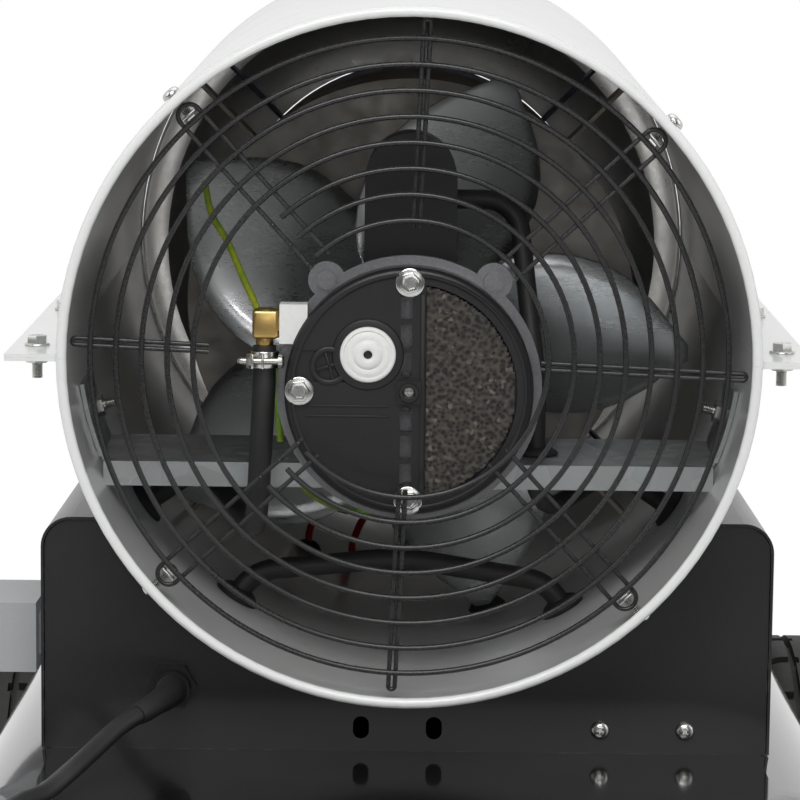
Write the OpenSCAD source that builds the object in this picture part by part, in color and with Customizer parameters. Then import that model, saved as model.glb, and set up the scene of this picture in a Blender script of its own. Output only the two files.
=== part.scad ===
// Wheeled forced-air diesel space heater: +X right seen from the fan end, +Y towards the outlet, +Z up.
// The origin is on the floor, under the middle of the whole heater without its cord.

/* [Shell] */
// Outside diameter of the shell at the fan end
inlet_d = 297; // [285:1:305]
// Outside diameter of the shell at the outlet end
body_d = 347; // [330:1:350]
// Length of the shell
shell_len = 690; // [660:5:740]
// Height of the shell axis above the floor
axis_h = 485; // [475:1:510]
// Thickness of the shell sheet
shell_t = 1.5; // [1:0.1:2]
// Thickness of the rolled rear rim
bead_d = 4.4; // [3.6:0.1:5.2]
// Width of the joining flange at the fan end
flange_w = 22; // [18:0.5:26]
// Width of the joining flange at the outlet end
flange_front_w = 14; // [12:0.5:20]
// Screws along each flange
flange_screws = 5; // [3:1:8]
// Distance from the rear rim to the first flange screw
flange_screw_in = 38; // [20:1:60]
// Opening of the outlet nose
outlet_d = 254; // [240:1:280]

/* [Fan guard] */
// Depth of the guard rings inside the rim
guard_in = 12; // [10:0.5:14]
// Rings of the guard
rings = 8; // [6:1:8]
// Inner rings that stay open beside the air hose
open_rings = 3; // [0:1:4]
// Radius of the smallest ring
ring_first_r = 59; // [56:0.5:62]
// Distance from ring to ring
ring_pitch = 10.9; // [10:0.1:11]
// Wire of the rings
ring_wire = 2.4; // [2:0.1:3]
// Wire of the spokes and hairpins
bar_wire = 2; // [1.6:0.1:2.4]
// Distance between the two wires of a spoke
spoke_gap = 9.6; // [9:0.1:12]
// Distance between the two wires of a hairpin
hairpin_gap = 2.8; // [2.6:0.1:4]
// Radius reached by the hairpins
hairpin_r = 143; // [140:0.5:144]
// Turn of the whole guard, clockwise
guard_turn = 2.5; // [0:0.5:5]

/* [Fan] */
// Diameter over the blade tips
fan_d = 268; // [240:1:272]
// Blades
blades = 5; // [3:1:6]
// Thickness of a blade
blade_t = 1.6; // [1.2:0.1:2]
// Diameter of the fan hub
hub_d = 46; // [40:1:60]
// Length of the fan hub
hub_len = 24; // [20:1:28]
// Distance from the motor to the fan hub
fan_gap = 8; // [7:0.5:12]

/* [Motor] */
// Drop of the motor axis below the shell axis
motor_drop = 12; // [8:0.5:13]
// Diameter of the motor
motor_d = 84; // [76:1:88]
// Length of the motor
motor_len = 104; // [95:1:110]
// Diameter of the motor shaft
shaft_d = 12; // [10:0.5:14]
// Radial running clearance of the shaft
shaft_fit = 0.05; // [0.02:0.01:0.1]
// Width of the capacitor housing on the motor
cap_w = 42; // [36:1:46]
// Height of the capacitor housing above the motor axis
cap_h = 103; // [95:1:108]
// Length of the capacitor housing
cap_len = 46; // [40:1:50]

/* [Motor bracket] */
// Half width of the bracket plate
bracket_half = 136; // [132:0.5:137]
// Depth of the bracket plate
bracket_len = 86; // [82:1:87]
// Thickness of the bracket sheet
bracket_t = 2; // [1.5:0.1:2.5]
// Height of the bracket lip
bracket_lip = 11; // [8:0.5:14]
// Distance from the rear rim to the bracket lip
bracket_in = 76; // [72:1:80]
// Height of the bolted ends
bracket_tab = 34; // [28:1:38]

/* [Air pump] */
// Diameter of the filter cover
cover_d = 107; // [100:1:110]
// Depth of the filter cover
cover_len = 15; // [13:0.5:16]
// Distance from the rear rim to the filter cover
cover_in = 25; // [23:0.5:28]
// Drop of the cover centre below the motor axis
pump_drop = 3.5; // [0:0.5:5]
// Thickness of the pump plate
plate_t = 4; // [3:0.5:5]
// Length of the pump body
pump_len = 26; // [24:1:28]
// Distance between the two ears of the pump plate
ear_span = 72; // [66:1:76]
// Radius of the cover screw circle
cover_screw_r = 47; // [44:0.5:48]
// Diameter of the gauge plug
gauge_d = 24; // [20:0.5:26]
// Diameter of the pump rotor
rotor_d = 44; // [38:1:48]
// Vanes of the pump rotor
vanes = 4; // [3:1:6]
// Diameter of the air hose
hose_d = 10; // [8:0.5:11]

/* [Burner] */
// Diameter of the combustion chamber
chamber_d = 224; // [200:1:230]
// Length of the combustion chamber
chamber_len = 372; // [340:1:390]
// Distance from the rear rim to the combustion chamber
chamber_in = 262; // [255:1:270]
// Thickness of the chamber sheet
chamber_t = 1.5; // [1:0.1:2]
// Diameter of the burner head
burner_d = 92; // [80:1:100]
// Length of the burner head
burner_len = 60; // [50:1:70]
// Openings in the flame disc
disc_holes = 10; // [6:1:12]

/* [Cabinet] */
// Width of the cabinet panels
cabinet_w = 317; // [310:1:330]
// Height of the cabinet
cabinet_h = 101.5; // [98:0.5:110]
// Height of the cabinet top below the shell axis
cabinet_drop = 75; // [70:0.5:80]
// Length of the cabinet
cabinet_len = 560; // [520:5:580]
// Distance from the rear rim to the rear panel
cabinet_in = 40; // [36:1:50]
// Thickness of the cabinet sheet
cabinet_t = 1.2; // [1:0.1:2]
// Radius of the rounded cabinet edges
cabinet_r = 12; // [8:0.5:16]

/* [Socket box] */
// Width of the socket box
socket_w = 44; // [36:1:50]
// Length of the socket box
socket_len = 56; // [48:1:70]
// Height of the socket box
socket_h = 32; // [28:1:40]
// Distance from the rear rim to the socket box
socket_in = 95; // [85:1:110]

/* [Controls] */
// Diameter of the thermostat knob
knob_d = 36; // [30:1:42]
// Height of the thermostat knob
knob_h = 17; // [14:0.5:20]
// Width of the rocker switch
rocker_w = 14; // [12:0.5:18]
// Height of the rocker switch
rocker_h = 26; // [24:0.5:30]
// Length of the control fascia
fascia_len = 150; // [140:1:170]
// Height of the control fascia
fascia_h = 62; // [56:1:66]

/* [Tank] */
// Width of the tank
tank_w = 400; // [390:1:410]
// Length of the tank
tank_len = 800; // [780:5:810]
// Height of the tank
tank_h = 150; // [140:1:158]
// Distance that the tank reaches behind the rear rim
tank_back = 100; // [80:1:110]
// Radius of the tank shoulders
tank_edge_r = 45; // [40:1:50]
// Radius of the tank corners seen from above
tank_corner_r = 80; // [70:1:100]
// Thickness of the tank sheet
tank_t = 1.5; // [1:0.1:2]
// Width of the seam round the tank
seam_w = 9; // [6:0.5:12]
// Diameter of the fuel cap
fuel_cap_d = 52; // [46:1:54]
// Height of the fuel cap
fuel_cap_h = 18; // [15:0.5:19]

/* [Chassis] */
// Diameter of the wheels
wheel_d = 250; // [230:1:256]
// Width of the tyres
tyre_w = 56; // [48:1:64]
// Diameter of the wheel rims
rim_d = 160; // [140:1:170]
// Distance from the rear rim to the axle
axle_in = 572; // [540:1:590]
// Diameter of the axle
axle_d = 16; // [14:0.5:18]
// Radial running clearance of the wheels
axle_fit = 0.06; // [0.02:0.01:0.1]
// Gap between the tank and each wheel
wheel_gap = 13; // [12:0.5:20]
// Distance between the two rails under the tank
rail_span = 240; // [220:2:260]
// Diameter of the chassis tubes
tube_d = 22; // [20:1:26]
// Reach of the handle behind the rear rim
handle_back = 205; // [190:1:230]
// Slope of the handle
handle_tilt = 60; // [50:1:64]
// Diameter of the handle grip
grip_d = 32; // [28:1:36]
// Distance from the rear rim to the rear foot
foot_in = 10; // [0:1:40]

/* [Power cord] */
// Diameter of the power cord
cord_d = 8; // [7:0.1:9]
// Mean radius of the cord coil
coil_r = 44; // [42:0.5:48]
// Turns in each layer of the coil
coil_turns = 2; // [2:1:3]
// Distance from turn to turn
coil_pitch = 9; // [8.8:0.1:10]

/* [Hidden] */
$fn = 72;

// Overrun of every cut, clearance between seated pieces, and depth by which welded wires sink
cut = 1;
slit = 0.3;
weld = 0.3;

// Screws and bolts: diameter of the shank and the head, height of the head
bolt_d = 4.8;
bolt_head_d = 11;
bolt_head_h = 4.5;
bolt_len = 14;
screw_d = 4;
screw_head_d = 8.4;
screw_head_h = 2.8;
hex_share = 0.8;
function hole(d) = d + 2 * slit;

// Main radii and levels
inlet_r = inlet_d / 2;
body_r = body_d / 2;
outlet_r = outlet_d / 2;
nose_r = body_r - shell_t - slit - outlet_r;
front = shell_len + nose_r + (bead_d - shell_t) / 2;
rim_y = (handle_back - front) / 2;
cabinet_top = -cabinet_drop;
cabinet_floor = cabinet_top - cabinet_h;
tank_top_h = axis_h + cabinet_floor;
tank_base_h = tank_top_h - tank_h;
function shell_r(d) = inlet_r + (body_r - inlet_r) * d / shell_len;
function wall_r(d) = shell_r(d) - shell_t;
function at_r(a, r, d) = [r * cos(a), d, r * sin(a)];
// How far a chord of half width w lies inside a circle of radius r
function sag(r, w) = r - sqrt(r * r - w * w);

// Moves a form to the shell axis in the plane of the rear rim
module at_axis() translate([0, rim_y, axis_h]) children();
// Turns a form that stands along Z so that it runs along Y or X
module along_y() rotate([-90, 0, 0]) children();
module along_x() rotate([0, 90, 0]) children();
// Revolves a profile of radius and depth round the Y axis
module spin_y() along_y() rotate_extrude() children();
// Gives a drawing of X and Z a thickness along Y
module slab_y(t) translate([0, t, 0]) rotate([90, 0, 0]) linear_extrude(t) children();
// Turns a form from the X axis to an angle seen from behind
module at_angle(a) rotate([0, -a, 0]) children();
// Stands a form on the shell, pointing outwards
module radial(a, d, r) at_axis() translate([0, d, 0]) at_angle(a) translate([r, 0, 0]) along_x()
    children();
module both_sides() for (m = [0, 1]) mirror([m, 0, 0]) children();

module rod_y(d, l) along_y() cylinder(d = d, h = l);
module rod_x(d, l) along_x() cylinder(d = d, h = l);
module ring(od, id, l) difference() {
    cylinder(d = od, h = l);
    translate([0, 0, -cut]) cylinder(d = id, h = l + 2 * cut);
}
// Frustum that follows the shell between two depths, larger by e
module shell_cone(d0, d1, e) translate([0, d0, 0]) along_y()
    cylinder(r1 = shell_r(d0) + e, r2 = shell_r(d1) + e, h = d1 - d0);
// Rectangle with round corners
module round_rect(w, l, r) {
    square([w - 2 * r, l], center = true);
    square([w, l - 2 * r], center = true);
    for (sx = [-1, 1], sy = [-1, 1]) translate([sx * (w / 2 - r), sy * (l / 2 - r)]) circle(r);
}

// Screws with the head above z = 0 and the shank below
module pan_screw(l) {
    intersection() {
        cylinder(d = screw_head_d, h = screw_head_h);
        translate([0, 0, screw_head_h - screw_head_d]) sphere(screw_head_d);
    }
    translate([0, 0, -l]) cylinder(d = screw_d, h = l + screw_head_h / 2);
}
module hex_bolt(l) {
    cylinder(d = bolt_head_d, h = bolt_head_h / 4);
    cylinder(d = bolt_head_d * hex_share, h = bolt_head_h, $fn = 6);
    translate([0, 0, -l]) cylinder(d = bolt_d, h = l + bolt_head_h / 4);
}

// A tube swept along a list of points, with its rings square to the path
function unit(v) = v / norm(v);
function path_dir(p, i) = unit(p[min(i + 1, len(p) - 1)] - p[max(i - 1, 0)]);
function flat_to(u, t) = unit(u - t * (u * t));
function sides_of(p) = [
    for (i = 0, u = flat_to([0.31, 0.17, 0.93], path_dir(p, 0)); i < len(p);
        i = i + 1, u = i < len(p) ? flat_to(u, path_dir(p, i)) : u) u];
// Rounds a list of points by a curve that passes through each of them
function bend(a, b, c, d, t) = 0.5 * (2 * b + (c - a) * t + (2 * a - 5 * b + 4 * c - d) * t * t
    + (3 * b - a - 3 * c + d) * t * t * t);
function smooth(p, n) = [
    for (i = [0:len(p) - 2], k = [0:n - 1])
        bend(p[max(i - 1, 0)], p[i], p[i + 1], p[min(i + 2, len(p) - 1)], k / n),
    p[len(p) - 1]];
// Rounds the corners of a route by arcs of a radius, or of one radius for each corner
function corner(b, u, v, r) =
    let (h = acos(u * v) / 2, o = b + unit(u + v) * r / sin(h), e = b + u * r / tan(h) - o, f = b + v * r / tan(h) - o)
    [for (i = [0:5]) o + (e * sin((1 - i / 5) * (180 - 2 * h)) + f * sin(i / 5 * (180 - 2 * h))) / sin(2 * h)];
function rounded(p, r) = concat([p[0]],
    [for (i = [1:len(p) - 2]) each corner(p[i], unit(p[i - 1] - p[i]), unit(p[i + 1] - p[i]), is_num(r) ? r : r[i - 1])],
    [p[len(p) - 1]]);
module sweep(p, d, sides) {
    u = sides_of(p);
    n = len(p);
    points = [for (i = [0:n - 1], k = [0:sides - 1])
        let (t = path_dir(p, i), a = 360 * k / sides)
        p[i] + d / 2 * (u[i] * cos(a) + cross(t, u[i]) * sin(a))];
    faces = concat(
        [for (i = [0:n - 2], k = [0:sides - 1]) let (m = (k + 1) % sides)
            [i * sides + k, (i + 1) * sides + k, (i + 1) * sides + m]],
        [for (i = [0:n - 2], k = [0:sides - 1]) let (m = (k + 1) % sides)
            [i * sides + k, (i + 1) * sides + m, i * sides + m]],
        [for (k = [1:sides - 2]) [0, k, k + 1]],
        [for (k = [1:sides - 2]) [(n - 1) * sides, (n - 1) * sides + k + 1, (n - 1) * sides + k]]);
    polyhedron(points, faces);
}

// Shell: two halves, joined by screws through their flanges
flange_end = inlet_r + flange_w;
function flange_x(d) = flange_end + (body_r + flange_front_w - flange_end) * d / shell_len;
flange_ds = [for (i = [0:flange_screws - 1])
    flange_screw_in + i * (shell_len - 2 * flange_screw_in) / (flange_screws - 1)];
module half_shell() {
    along_y() rotate([0, 0, 180]) rotate_extrude(angle = 180) {
        polygon([[wall_r(bead_d / 2), bead_d / 2], [shell_r(bead_d / 2), bead_d / 2],
            [body_r, shell_len], [body_r - shell_t, shell_len]]);
        translate([inlet_r - bead_d / 2, bead_d / 2]) circle(d = bead_d);
    }
    both_sides() difference() {
        linear_extrude(shell_t) polygon([
            [shell_r(bead_d) - shell_t / 2, bead_d], [flange_x(bead_d), bead_d],
            [flange_x(shell_len), shell_len], [body_r - shell_t / 2, shell_len]]);
        for (d = flange_ds) translate([(shell_r(d) + flange_x(d)) / 2, d, -cut])
            cylinder(d = hole(bolt_d), h = shell_t + 2 * cut);
    }
}
module shell_hole(a, d, size) radial(a, d, wall_r(d) - 3 * shell_t)
    cylinder(d = size, h = 6 * shell_t);
module upper_shell() color("#f2f2ef") difference() {
    at_axis() half_shell();
    for (a = [guard_angle(0), guard_angle(1)]) shell_hole(a, guard_screw_in, hole(screw_d));
}
module lower_shell() color("#f2f2ef") difference() {
    at_axis() mirror([0, 0, 1]) half_shell();
    for (a = [guard_angle(2), guard_angle(3)]) shell_hole(a, guard_screw_in, hole(screw_d));
    for (a = bracket_angles) shell_hole(a, bracket_bolt_in, hole(bolt_d));
    for (g = leads) shell_hole(g[0], g[1], g[2] + 2 * grommet_t);
}
module flange_screws() color("#9a9c9e") at_axis() both_sides()
    for (d = flange_ds) translate([(shell_r(d) + flange_x(d)) / 2, d, shell_t]) {
        hex_bolt(bolt_len);
        translate([0, 0, -2 * shell_t - bolt_head_h]) cylinder(d = bolt_head_d, h = bolt_head_h, $fn = 6);
    }

// Outlet nose: a collar inside the shell that curves in to the opening
collar = 20;
module outlet_nose() color("#c9c9c6") at_axis() {
    spin_y() polygon([for (p = [[0.5, -shell_t], [0.5, collar], [1.5, collar], [1.5, -shell_t]])
        [wall_r(shell_len - max(p[1], 0)) - slit - p[0] * shell_t, shell_len - p[1]]]);
    spin_y() translate([outlet_r, shell_len]) {
        intersection() {
            difference() {
                circle(nose_r);
                circle(nose_r - shell_t);
            }
            square(nose_r);
        }
        translate([0, front - bead_d / 2 - shell_len]) circle(d = bead_d);
    }
}

// Fan guard: wire rings on four double spokes and four hairpins
bar_in = guard_in + (ring_wire + bar_wire) / 2 - weld;
guard_screw_in = bar_in + bar_wire / 2 + slit + screw_d / 2;
ring_last_r = ring_first_r + (rings - 1) * ring_pitch;
spoke_start_r = ring_first_r - 1.5 * bar_wire;
function guard_angle(i) = 45 + 90 * i - guard_turn;
module wire_u(from_r, to_r, gap) {
    for (s = [-1, 1]) translate([from_r, 0, s * gap / 2]) rod_x(bar_wire, to_r - from_r - gap / 2);
    translate([to_r - gap / 2, 0, 0]) along_y() rotate([0, 0, -90]) rotate_extrude(angle = 180)
        translate([gap / 2, 0]) circle(d = bar_wire);
}
module fan_guard() color("#26272a") at_axis() {
    for (i = [0:rings - 1]) translate([0, guard_in, 0]) along_y()
        rotate([0, 0, i < open_rings ? -guard_angle(1) : 0])
            rotate_extrude(angle = i < open_rings ? 270 : 360)
                translate([ring_first_r + i * ring_pitch, 0]) circle(d = ring_wire);
    for (i = [0:3]) translate([0, bar_in, 0]) {
        at_angle(guard_angle(i)) wire_u(spoke_start_r, hairpin_r, spoke_gap);
        at_angle(guard_angle(i) + 45) wire_u(
            i == 1 ? ring_first_r + (open_rings - 0.6) * ring_pitch : spoke_start_r,
            hairpin_r, hairpin_gap);
    }
}
module guard_screws() color("#b9bbbd") for (i = [0:3]) radial(guard_angle(i), guard_screw_in, 0) {
    translate([0, 0, shell_r(guard_screw_in) + slit]) pan_screw(
        shell_r(guard_screw_in) + slit - ring_last_r - ring_wire / 2 - slit);
    translate([0, 0, ring_last_r + ring_wire / 2 + slit])
        linear_extrude(hairpin_r - (spoke_gap - bar_wire) / 2 - ring_last_r - ring_wire / 2 - slit)
        square([spoke_gap - bar_wire - 2 * slit, 2.4 * screw_d], center = true);
}

// Air pump, motor and fan, one behind the other on the motor axis
plate_in = cover_in + cover_len;
pump_in = plate_in + plate_t;
motor_in = pump_in + pump_len;
motor_end = motor_in + motor_len;
fan_in = motor_end + fan_gap;
motor_r = motor_d / 2;
cover_r = cover_d / 2;
hub_r = hub_d / 2;
fan_r = fan_d / 2;
fan_nut_h = 6;
cap_in = fan_in + hub_len / 2 - 0.25 * fan_r - cap_len;
module at_motor(d) at_axis() translate([0, d, -motor_drop]) children();
module at_cover(d) at_motor(d) translate([0, 0, -pump_drop]) children();

// A blade is a twisted petal: its half chord and its pitch follow the radius
blade_rows = 12;
blade_cols = 8;
chord_shares = [0.14, 0.22, 0.293, 0.348, 0.38, 0.39, 0.385, 0.365, 0.33, 0.27, 0.19, 0.1, 0.03];
root_angle = 42;
tip_angle = 24;
lean_angle = 10;
first_angle = 80;
function blade_point(i, v, side) =
    let (u = i / blade_rows, s = 1 - (1 - u) * (1 - u) * 0.15 - 0.85 * (1 - u),
        r = 0.9 * hub_r + (fan_r - 0.9 * hub_r) * s, c = chord_shares[i] * fan_r * v,
        p = root_angle + (tip_angle - root_angle) * u, camber = 0.1 * chord_shares[i] * fan_r * (1 - v * v),
        w = c * cos(p) + (camber + side * blade_t / 2) * sin(p), a = w / r * 180 / PI + lean_angle * u)
    [r * cos(a), r * sin(a), c * sin(p) - (camber + side * blade_t / 2) * cos(p)];
module blade() {
    n = blade_cols + 1;
    rows = blade_rows + 1;
    points = [for (side = [-1, 1], i = [0:blade_rows], j = [0:blade_cols])
        blade_point(i, 2 * j / blade_cols - 1, side)];
    half = rows * n;
    edge = concat([for (j = [0:blade_cols]) j], [for (i = [1:blade_rows]) i * n + blade_cols],
        [for (j = [1:blade_cols]) blade_rows * n + blade_cols - j],
        [for (i = [1:blade_rows - 1]) (blade_rows - i) * n]);
    faces = concat(
        [for (i = [0:blade_rows - 1], j = [0:blade_cols - 1]) each let (a = i * n + j)
            [[a, a + 1, a + n + 1], [a, a + n + 1, a + n]]],
        [for (i = [0:blade_rows - 1], j = [0:blade_cols - 1]) each let (a = half + i * n + j)
            [[a, a + n + 1, a + 1], [a, a + n, a + n + 1]]],
        [for (k = [0:len(edge) - 1]) each let (a = edge[k], b = edge[(k + 1) % len(edge)])
            [[a, half + a, half + b], [a, half + b, b]]]);
    polyhedron(points, faces);
}
module fan() color("#b4b6b8") at_motor(fan_in) {
    difference() {
        union() {
            rod_y(hub_d, hub_len);
            translate([0, hub_len / 2, 0]) for (i = [0:blades - 1])
                at_angle(first_angle + i * 360 / blades) along_y() blade();
        }
        translate([0, -cut, 0]) rod_y(shaft_d + 2 * shaft_fit, hub_len + 2 * cut);
    }
}
module motor_shaft() color("#8e9092") at_motor(pump_in + slit) {
    rod_y(shaft_d, fan_in + hub_len + fan_nut_h - pump_in);
    translate([0, fan_in + hub_len - pump_in, 0]) along_y()
        cylinder(d = 1.7 * shaft_d, h = fan_nut_h - slit, $fn = 6);
}

// Motor: two end bells on a steel drum, with two tapped holes for its foot screws
bell_share = 0.22;
bell_step = 3;
vents = 10;
foot_shares = [0.25, 0.75];
foot_depth = 10;
module motor_housing() color("#2b2c2f") at_motor(motor_in) difference() {
    spin_y() {
        polygon([[0, 0], [0.72 * motor_r, 0], [motor_r - bell_step, 0.5 * bell_share * motor_len],
            [motor_r - bell_step, bell_share * motor_len], [motor_r, bell_share * motor_len],
            [motor_r, (1 - bell_share) * motor_len], [motor_r - bell_step, (1 - bell_share) * motor_len],
            [motor_r - bell_step, (1 - 0.5 * bell_share) * motor_len], [0.72 * motor_r, motor_len],
            [0, motor_len]]);
    }
    translate([0, -cut, 0]) rod_y(shaft_d + 2 * shaft_fit, motor_len + 2 * cut);
    for (i = [0:vents - 1], y = [0.58 * bell_share, 1 - 0.96 * bell_share]) at_angle((i + 0.5) * 360 / vents)
        translate([motor_r - 3 * bell_step, y * motor_len, -bell_step])
            cube([3 * bell_step, 0.4 * bell_share * motor_len, 2 * bell_step]);
    for (y = foot_shares) translate([0, y * motor_len, -motor_r - cut])
        cylinder(d = hole(bolt_d), h = foot_depth + cut);
}
// Capacitor housing: an arched box seated on the motor drum
module capacitor() color("#232427") at_motor(cap_in) {
    difference() {
        slab_y(cap_len) {
            translate([0, cap_h - cap_w / 2]) circle(d = cap_w);
            translate([-cap_w / 2, 0]) square([cap_w, cap_h - cap_w / 2]);
        }
        translate([0, -cut, 0]) rod_y(motor_d + 2 * slit, cap_len + 2 * cut);
        translate([cap_w / 2 - foot_depth, cap_len / 2, lead_h]) rod_x(hole(lead_d), foot_depth + cut);
    }
}

// Galvanised bracket: a plate with a rear lip and two ends that follow the shell
bracket_top = -(motor_drop + motor_r + slit);
bracket_bolt_angle = 14;
bracket_angles = [180 + bracket_bolt_angle, 360 - bracket_bolt_angle];
bracket_bolt_in = bracket_in + 0.55 * bracket_len;
tab_in = bracket_in + 0.2 * bracket_len;
tab_len = 0.75 * bracket_len;
tab_low = asin((bracket_t / 2 - bracket_top) / wall_r(tab_in));
tab_high = tab_low - bracket_tab / wall_r(tab_in) * 180 / PI;
module motor_bracket() color("#b7babd") at_axis() difference() {
    union() {
        translate([-bracket_half, bracket_in, bracket_top - bracket_t])
            cube([2 * bracket_half, bracket_len, bracket_t]);
        translate([-bracket_half, bracket_in, bracket_top - bracket_lip])
            cube([2 * bracket_half, bracket_t, bracket_lip]);
        intersection() {
            translate([-body_r, tab_in, bracket_top - bracket_t]) cube([body_d, tab_len, bracket_t]);
            shell_cone(tab_in - cut, tab_in + tab_len + cut, -shell_t - slit - bracket_t / 2);
        }
        both_sides() along_y() rotate([0, 0, tab_high]) rotate_extrude(angle = tab_low - tab_high)
            polygon([for (p = [[0, 0], [bracket_t, 0], [bracket_t, 1], [0, 1]])
                [wall_r(tab_in + p[1] * tab_len) - slit - p[0], tab_in + p[1] * tab_len]]);
    }
    for (y = foot_shares) translate([0, motor_in + y * motor_len, bracket_top - bracket_t - cut])
        cylinder(d = hole(bolt_d), h = bracket_t + 2 * cut);
    for (a = bracket_angles) translate([0, bracket_bolt_in, 0]) at_angle(a)
        translate([wall_r(bracket_bolt_in) - 4 * bracket_t, 0, 0]) rod_x(hole(bolt_d), 6 * bracket_t);
    translate([lead_x, lead_in, bracket_top - bracket_t - cut])
        cylinder(d = lead_d + 2 * grommet_t, h = bracket_t + 2 * cut);
}
module bracket_bolts() color("#a3a6a9") {
    for (a = bracket_angles) {
        radial(a, bracket_bolt_in, shell_r(bracket_bolt_in) + slit) hex_bolt(bolt_len);
        radial(a, bracket_bolt_in, wall_r(bracket_bolt_in) - 2 * slit - bracket_t - bolt_head_h)
            cylinder(d = bolt_head_d, h = bolt_head_h, $fn = 6);
    }
    for (y = foot_shares) at_axis()
        translate([0, motor_in + y * motor_len, bracket_top - bracket_t]) mirror([0, 0, 1])
            hex_bolt(bracket_t + 0.8 * foot_depth);
}

// Air pump: a black cover over a foam filter, on a plate that closes the vane pump
cover_wall = 2.2;
cover_edge_r = 3;
boss_r = 6;
cover_screw_angles = [90, 180, 270];
gauge_shares = [-0.33, 0.3];
gauge_stem_share = 0.7;
square_boss = 10;
window_shares = [0.13, 0.87];
slot_w = 5;
slot_pitch = 12;
slot_bar = 2;
band_shares = [0.075, 0.33];
washer_d = 12.6;
module cover_cup() {
    difference() {
        union() {
            translate([0, cover_edge_r]) square([cover_r, cover_len - cover_edge_r]);
            square([cover_r - cover_edge_r, cover_len]);
            translate([cover_r - cover_edge_r, cover_edge_r]) circle(cover_edge_r);
        }
        translate([-cut, cover_wall]) square([cover_r - cover_wall + cut, cover_len]);
    }
}
module filter_cover() color("#1d1e20") at_cover(cover_in) difference() {
    union() {
        spin_y() cover_cup();
        for (a = cover_screw_angles) at_angle(a) translate([cover_screw_r, cover_wall / 2, 0])
            rod_y(2 * boss_r, cover_len - cover_wall / 2);
        translate([0, -cover_wall, 0]) slab_y(cover_len) square(square_boss, center = true);
        translate([gauge_shares[0] * cover_r, cover_wall / 2, gauge_shares[1] * cover_r])
            rod_y(gauge_stem_share * gauge_d + 2 * cover_wall, 0.6 * cover_len);
    }
    translate([0, -cut, 0]) slab_y(cover_wall + 2 * cut) intersection() {
        circle(window_shares[1] * cover_r);
        translate([window_shares[0] * cover_r, -cover_r]) square(cover_d);
    }
    for (s = [-1, 1], k = [0:2]) translate([0, -cut, 0]) slab_y(cover_wall + 2 * cut)
        translate([-slot_w / 4, s * (square_boss / 2 + slot_bar / 2 + (k + 0.5) * slot_pitch)])
            square([slot_w, slot_pitch - slot_bar], center = true);
    translate([0, -cut, 0]) slab_y(cut + cover_wall / 2) intersection() {
        circle(cover_r - cover_edge_r);
        translate([-cover_r, band_shares[0] * cover_r])
            square([cover_r - slot_w - square_boss / 2,
                (band_shares[1] - band_shares[0]) * cover_r]);
    }
    for (a = cover_screw_angles) at_angle(a) translate([cover_screw_r, -cut, 0])
        rod_y(hole(screw_d), cover_len + 2 * cut);
    translate([0, -cover_wall - cut, 0]) rod_y(hole(screw_d), cover_len + 2 * cut);
    translate([gauge_shares[0] * cover_r, -cut, gauge_shares[1] * cover_r])
        rod_y(gauge_stem_share * gauge_d + 2 * slit, cover_len);
}
foam_t = cover_len - cover_wall - 2 * slit;
module foam_filter() color("#3a3633") at_cover(cover_in + cover_wall + slit) slab_y(foam_t) difference() {
    intersection() {
        circle(cover_r - cover_wall - slit);
        translate([window_shares[0] * cover_r, -cover_r]) square(cover_d);
    }
    for (a = cover_screw_angles) rotate(a) translate([cover_screw_r, 0]) circle(boss_r + slit);
}
module gauge_plug() color("#e9e9e4")
    at_cover(cover_in) translate([gauge_shares[0] * cover_r, 0, gauge_shares[1] * cover_r]) {
        difference() {
            translate([0, -cover_wall, 0]) rod_y(gauge_d, cover_wall);
            translate([0, -cover_wall - cut, 0]) rod_y(screw_d, cover_wall);
        }
        rod_y(gauge_stem_share * gauge_d, 0.8 * cover_len);
    }
module pressure_adjuster() color("#c3a14d") at_cover(cover_in) difference() {
    rod_y(screw_d, cover_len - slit);
    translate([-screw_d, -cut, -screw_d / 8]) cube([2 * screw_d, cut + screw_d / 4, screw_d / 4]);
}
module cover_screws() color("#c5c7c8") at_cover(cover_in) for (a = cover_screw_angles)
    at_angle(a) translate([cover_screw_r, 0, 0]) rotate([90, 0, 0]) {
        cylinder(d = washer_d, h = bolt_head_h / 4);
        cylinder(d = 0.7 * washer_d, h = bolt_head_h, $fn = 6);
        translate([0, 0, -cover_len - plate_t]) cylinder(d = screw_d, h = cover_len + plate_t + cut);
    }
plate_r = cover_r + plate_t;
ear_r = 8;
ear_h = 0.87 * cover_r;
port_share = 0.3;
module pump_plate() color("#9fa1a3") {
    at_cover(plate_in) difference() {
        slab_y(plate_t) {
            circle(plate_r);
            for (s = [-1, 1]) translate([s * ear_span / 2, ear_h]) circle(ear_r);
        }
        for (a = cover_screw_angles) at_angle(a) translate([cover_screw_r, -cut, 0])
            rod_y(hole(screw_d), plate_t + 2 * cut);
        for (s = [-1, 1]) translate([s * port_share * cover_r, -cut, -port_share * cover_r])
            rod_y(2 * screw_d, plate_t + 2 * cut);
    }
    at_cover(plate_in) for (s = [-1, 1]) translate([s * ear_span / 2, -screw_head_h, ear_h])
        rod_y(screw_head_d, screw_head_h + plate_t / 2);
}
pump_r = cover_r + 1;
pump_floor = 6;
chamber_shift = 2;
module pump_body() color("#a8aaac") at_motor(pump_in) difference() {
    translate([0, 0, -pump_drop]) rod_y(2 * pump_r, pump_len);
    translate([0, -cut, chamber_shift])
        rod_y(rotor_d + 2 * chamber_shift + 2 * slit, pump_len - pump_floor + cut);
    translate([0, -cut, 0]) rod_y(shaft_d + 2 * shaft_fit, pump_len + 2 * cut);
    for (a = cover_screw_angles) translate([0, -cut, -pump_drop]) at_angle(a)
        translate([cover_screw_r, 0, 0]) rod_y(hole(screw_d), 3 * cut);
}
vane_t = 3;
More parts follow.
